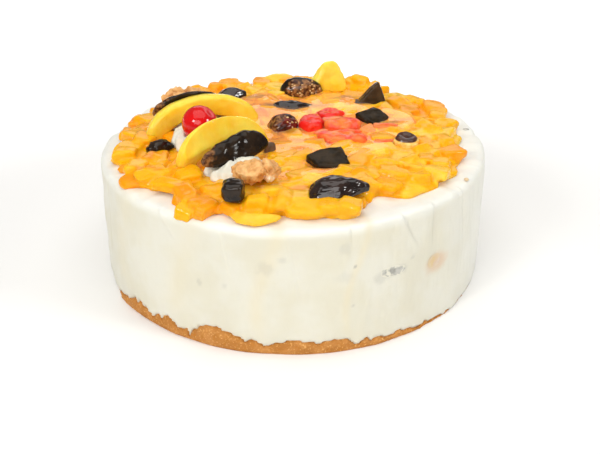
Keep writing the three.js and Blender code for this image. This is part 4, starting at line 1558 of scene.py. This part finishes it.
# Small red cuts between the large ones: middle, half sizes, turn and lean
RED_BITS = (
    ((21, 11.5, 70.6), (6, 3, 1.8), 10, 6), ((29, 11, 70.4), (5, 2.6, 1.6), -20, -8),
    ((48, 3.4, 70.4), (6.5, 2.6, 1.4), -8, 6), ((46, -15.5, 70.0), (5.5, 2.0, 1.4), 12, 8),
    ((14.5, -5, 70.2), (4, 3, 1.6), 60, -6), ((29, -4, 70.4), (6, 1.8, 1.6), 4, 0),
    ((10, 17, 70.2), (4, 2.4, 1.4), 40, 0), ((24, -17, 69.8), (6, 2, 1.2), -6, 10),
)


def red_bits():
    """The small red cuts, which fill the gaps between the strips."""
    block, faces = rounded_box(6, 4.0)
    bits = []
    for shift, (middle, half, turn, lean) in enumerate(RED_BITS):
        body = (block * half) @ turn_matrix(lean, turn).T
        body += 0.6 * noise_at(body, 4.0, 2, 80.0 + shift)[:, None] * block
        bits.append((body + np.array(middle), faces))
    return small_things("red_fruit_bits", bits, RED_PALE, "red_fruit")


# The direction in which the cherry's dimple looks
STEM_SIDE = (0.6, -0.1, 0.7)


def cherry():
    """A round cherry with a dimple where the stem was."""
    low, high = (np.array(corner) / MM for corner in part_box("cherry"))
    radius = (high[2] - low[2]) / 2
    middle = np.array([(low[0] + high[0]) / 2, (low[1] + high[1]) / 2, low[2] + radius])
    dimple = np.array(STEM_SIDE) / np.linalg.norm(STEM_SIDE)
    columns, rows = 72, 54
    polar = np.linspace(0, math.pi, rows + 2)[1:-1][::-1, None]
    degrees = np.arange(columns) * 360 / columns
    ball = np.vstack([round_points(np.sin(polar), degrees, np.cos(polar)), [[0, 0, -1], [0, 0, 1]]])
    facing = np.clip(ball @ dimple, 0, None)
    reach = radius * (1 - 0.15 * facing**16 + 0.02 * facing**5)
    reach += 0.16 * noise_at(ball, 0.7, 2, 3.0) * radius / 9
    _, faces = turned(np.ones((rows, columns)), np.ones((rows, columns)), degrees)
    piece = mesh_object("cherry_piece", middle + ball * np.minimum(reach, radius)[:, None], faces, CHERRY)
    return dress(piece, "cherry", "cherry")


# Depths of a kernel's folds, knobs, fine grain, middle seam and cross split
FOLD_DEPTH, KNOB_DEPTH, GRAIN_DEPTH, SEAM_DEPTH, SPLIT_DEPTH = 2.2, 0.9, 0.35, 1.0, 1.8


def walnut(node, shift, broken_at):
    """A kernel half with deep winding folds. One end is broken and shows its pale inside."""
    piece = refined(node, node + "_piece", WALNUT, 0.35, 1, 4)
    points = points_of(piece)
    drift = np.stack([noise_at(points, 5.0, 1, shift + k) for k in (5, 6, 7)], -1)
    folds = ridges_at(points + 1.6 * drift, 5.2, 2, shift)
    knobs = noise_at(points, 3.2, 2, shift + 2)
    fine = noise_at(points, 1.0, 2, shift + 4)
    axis = long_axis(points)
    low, high, share = own_box(points)
    from_middle = points - (low + high) / 2
    across = from_middle @ np.array([-axis[1], axis[0], 0.0])
    split = np.exp(-((from_middle @ axis - 3.0 + 1.2 * knobs) / 1.3) ** 2)
    seam = np.exp(-((across + 0.8 * knobs) / 1.1) ** 2) * (normals_of(piece)[:, 2] > 0)
    relief = FOLD_DEPTH * (folds - 0.5) + KNOB_DEPTH * knobs + GRAIN_DEPTH * fine
    push(piece, relief - SEAM_DEPTH * seam - SPLIT_DEPTH * split)
    # Painted shade: darker in the folds, the seam and the split.
    fold_shade = 0.8 - 1.4 * folds - 0.25 * knobs - 0.25 * fine + 0.5 * seam + 0.4 * split
    mark(piece, "fold_shade", np.clip(fold_shade, 0, 1))
    away = np.linalg.norm(share - broken_at, axis=1)
    mark(piece, "broken", np.clip(1.0 - 2.6 * away + 0.35 * knobs, 0, 1))
    return dress(piece, "walnut", node)


FLUTES, FLUTE_DEPTH = 12, 0.6


def rosette(node, shift):
    """Piped cream with soft flutes."""
    piece = refined(node, node + "_piece", PIPED, 0.5, 0, 8)
    points = points_of(piece)
    middle = (points.min(0) + points.max(0)) / 2
    turn = np.arctan2(points[:, 1] - middle[1], points[:, 0] - middle[0])
    ridges = np.cos(FLUTES * turn + 0.5 * points[:, 2] + 1.2 * noise_at(points, 9.0, 2, shift))
    push(piece, FLUTE_DEPTH * ridges + 0.3 * noise_at(points, 3.0, 2, shift))
    return dress(piece, "cream", node)


# Crumbs on the cream's rim: middle and half sizes
FIG_CRUMBS = (((92.7, 15.1, 64.2), (1.6, 0.9, 0.5)),)
PEACH_CRUMBS = (((81.9, -49.4, 64.6), (1.1, 1.0, 0.8)), ((80.2, -24.8, 66.6), (1.6, 1.2, 1.0)))


def crumbs(name, places, material, slot):
    """Small uneven lumps."""
    form, faces = seed_mesh(3)
    bodies = []
    for shift, (middle, half) in enumerate(places):
        body = form * half * (1 + 0.3 * noise_at(form, 0.8, 2, 90.0 + shift))[:, None]
        bodies.append((body + np.array(middle), faces))
    return small_things(name, bodies, material, slot)


# How far a side bit stands out of the wall, how much less where it is smeared, and how far it may grow
BIT_STANDS, SMEAR_SINKS, BIT_GROWS = 0.12, 0.1, 1.5


def side_bit(node, material, slot, cream, shift, covered):
    """A fruit bit in the cream's side, flush with the wall, with cream smeared over its edge."""
    piece = refined(node, node + "_piece", material, 0.3, 1, 4)
    points = points_of(piece)
    wall = search_tree(cream.data)
    span = np.hypot(points[:, 0], points[:, 1])
    low, high, _ = own_box(points)
    half = (high - low) / 2
    away = points - (low + high) / 2
    across = np.linalg.norm(away[:, :2], axis=1) / np.linalg.norm(half[:2])
    up = np.abs(away[:, 2]) / half[2]
    smear = covered * step(0.5, 0.95, np.hypot(across, up) + 0.55 * noise_at(points, 2.6, 3, shift))
    for index, point in enumerate(points):
        out = Vector((point[0], point[1], 0)) / span[index]
        hit = wall.ray_cast(Vector((0, 0, point[2])) + out * CLEAR_OF_CAKE, -out)[0]
        surface = math.hypot(hit.x, hit.y)
        reach = min(surface + BIT_STANDS - SMEAR_SINKS * smear[index], span[index] + BIT_GROWS)
        points[index, :2] *= reach / span[index]
    mark(piece, "smear", smear)
    move_points(piece, points)
    return dress(piece, slot, node)


# Stage, light and camera

CAMERA_PLACE = (0.0, -435.18, 244.105)
CAMERA_AIM = (0.00724385, 0.8833487, -0.46866043)


def add_camera():
    lens = bpy.data.cameras.new("camera")
    lens.sensor_width = 36.0
    lens.lens = PHOTO_FOCAL / PHOTO_WIDTH * lens.sensor_width
    camera = bpy.data.objects.new("camera", lens)
    camera.location = Vector(CAMERA_PLACE) * MM
    camera.rotation_euler = Vector(CAMERA_AIM).to_track_quat("-Z", "Y").to_euler()
    bpy.context.scene.collection.objects.link(camera)
    bpy.context.scene.camera = camera


def softbox(name, place, size, watts, colour, aim=(0, 0, 0.05), spread=180):
    """A panel lamp, its place, size and aim in metres. Spread is the angle that its light fills."""
    lamp = bpy.data.lights.new(name, "AREA")
    lamp.shape = "RECTANGLE"
    lamp.size, lamp.size_y = size
    lamp.energy = watts
    lamp.color = colour
    lamp.spread = math.radians(spread)
    light = bpy.data.objects.new(name, lamp)
    light.location = place
    light.rotation_euler = (Vector(aim) - Vector(place)).to_track_quat("-Z", "Y").to_euler()
    bpy.context.scene.collection.objects.link(light)


LAMP_WHITE, WORLD_WHITE, WORLD_STRENGTH = (1, 0.99, 0.97), (1, 0.99, 0.975, 1), 0.18


def add_light():
    softbox("top_softbox", (0.0, -0.05, 1.4), (1.7, 1.5), 12.9, LAMP_WHITE)
    softbox("right_softbox", (1.3, -0.6, 0.8), (0.3, 0.3), 6.6, LAMP_WHITE)
    softbox("left_softbox", (-0.9, -1.0, 0.85), (0.35, 0.35), 6.6, LAMP_WHITE)
    softbox("front_softbox", (-0.3, -1.5, 0.9), (1.3, 0.8), 10.8, LAMP_WHITE)
    softbox("back_softbox", (0.2, 1.3, 0.75), (1.6, 0.5), 3.0, (1, 0.96, 0.97))
    softbox("floor_softbox", (0.0, 0.85, 0.9), (1.8, 0.7), 8.5, (1, 0.99, 0.98), (0.0, 0.85, 0.0), 70)
    world = bpy.data.worlds.new("studio")
    world.use_nodes = True
    sky = world.node_tree.nodes["Background"].inputs
    sky["Color"].default_value = WORLD_WHITE
    sky["Strength"].default_value = WORLD_STRENGTH
    bpy.context.scene.world = world


FLOOR_HALF = 3000.0


def add_floor():
    material, tree, skin = finish("pale_floor", {"Roughness": 0.9, "Specular IOR Level": 0.1})
    colour = two_tones(tree, 3.0, (0.90, 0.895, 0.88, 1), (0.92, 0.915, 0.905, 1))
    tree.links.new(colour, skin["Base Color"])
    half = FLOOR_HALF
    corners = [(-half, -half, 0), (half, -half, 0), (half, half, 0), (-half, half, 0)]
    mesh_object("floor", corners, [(0, 1, 2, 3)], material)


# Making the cake

def make_cake():
    cream = cream_body()
    biscuit_base()
    trees = topping_trees()
    glaze(chopped_peach(trees))
    peach_slice("peach_arch_front", 0.12, 0.5, 3.8)
    peach_slice("peach_arch_back", 0.10, 0.2, 0.6)
    standing_chunk("peach_chunk_back")
    for shift, (node, lift) in enumerate((("fig_strip_front", 4.5), ("fig_strip_back", 3.0))):
        strip = dark_fig(node, FIG_STRIP, 3.0 + shift, 1, 6, 0.3, 9.0, waves=0.8)
        raised_end(strip, lift)
        torn_end(strip, 24.0 + shift)
    for shift, (node, material, flatten, depth) in enumerate((
        ("fig_half_front", FIG_WET, 0.92, 1.2), ("fig_half_middle", FIG_WET, 1.0, 0.7),
        ("fig_half_left", FIG, 0.8, 1.5), ("fig_half_behind", FIG_WET, 0.86, 0.7),
    )):
        half = dark_fig(node, material, 11.0 + shift, depth=depth, size=7.0, flatten=flatten, waves=1.0)
        pointed(half, 0.5, 0.3)
    fig_back = widened(dark_fig("fig_half_back", FIG, 21.0), 0.18, 3.0)
    fig_seeded = dark_fig("fig_half_seeded", FIG_RED, 22.0, depth=1.3, waves=0.8)
    open_side = (0.25, -0.93, 0.25)
    open_face(fig_back, open_side, 22.0)
    open_face(fig_seeded, (-0.7, -0.5, 0.5), 23.0)
    fig_seeds("fig_seeds", [fig_back, fig_seeded], open_side, (34, 8))
    for shift, (node, material, crisp, corners) in enumerate((
        ("fig_chunk_front", FIG_CUT, 1.0, CHUNK_FRONT), ("fig_chunk_right", FIG_CUT, 1.0, CHUNK_RIGHT),
        ("fig_wedge", FIG_BROWN, 0.85, None), ("fig_bit", FIG_DULL, 0.2, None),
    )):
        chunk = dark_fig(node, material, 31.0 + shift, 2, 3, 0.2, 7.0, crisp, 1.0, 0.35)
        if corners:
            replanned(chunk, corners)
            sloped(chunk, 0.4)
    rounded_off(dark_fig("fig_chunk_edge", FIG, 35.0, 2, 4, 0.3), 3.2, 3.0)
    fig_disc(36.0)
    for shift, (node, material) in enumerate((
        ("red_fruit_left", RED), ("red_fruit_back", RED),
        ("red_fruit_middle", RED_PALE), ("red_fruit_front", RED_PALE),
    )):
        red_piece(node, material, 41.0 + shift)
    red_bits()
    cherry()
    walnut("walnut_front", 5.0, (0.8, 0.3, 0.3))
    walnut("walnut_back", 9.0, (0.2, 0.7, 0.4))
    for shift, node in enumerate(("cream_rosette_front", "cream_rosette_middle", "cream_rosette_back")):
        rosette(node, 51.0 + shift)
    crumbs("fig_crumbs", FIG_CRUMBS, VEILED_FIG, "fig")
    crumbs("peach_crumbs", PEACH_CRUMBS, VEILED_PEACH, "peach")
    side_bit("side_fig_bit", VEILED_FIG, "fig", cream, 61.0, 1.0)
    side_bit("side_peach_bit", VEILED_PEACH, "peach", cream, 62.0, 0.25)


make_cake()
add_floor()
add_light()
add_camera()
bpy.context.scene.view_settings.view_transform = "Standard"
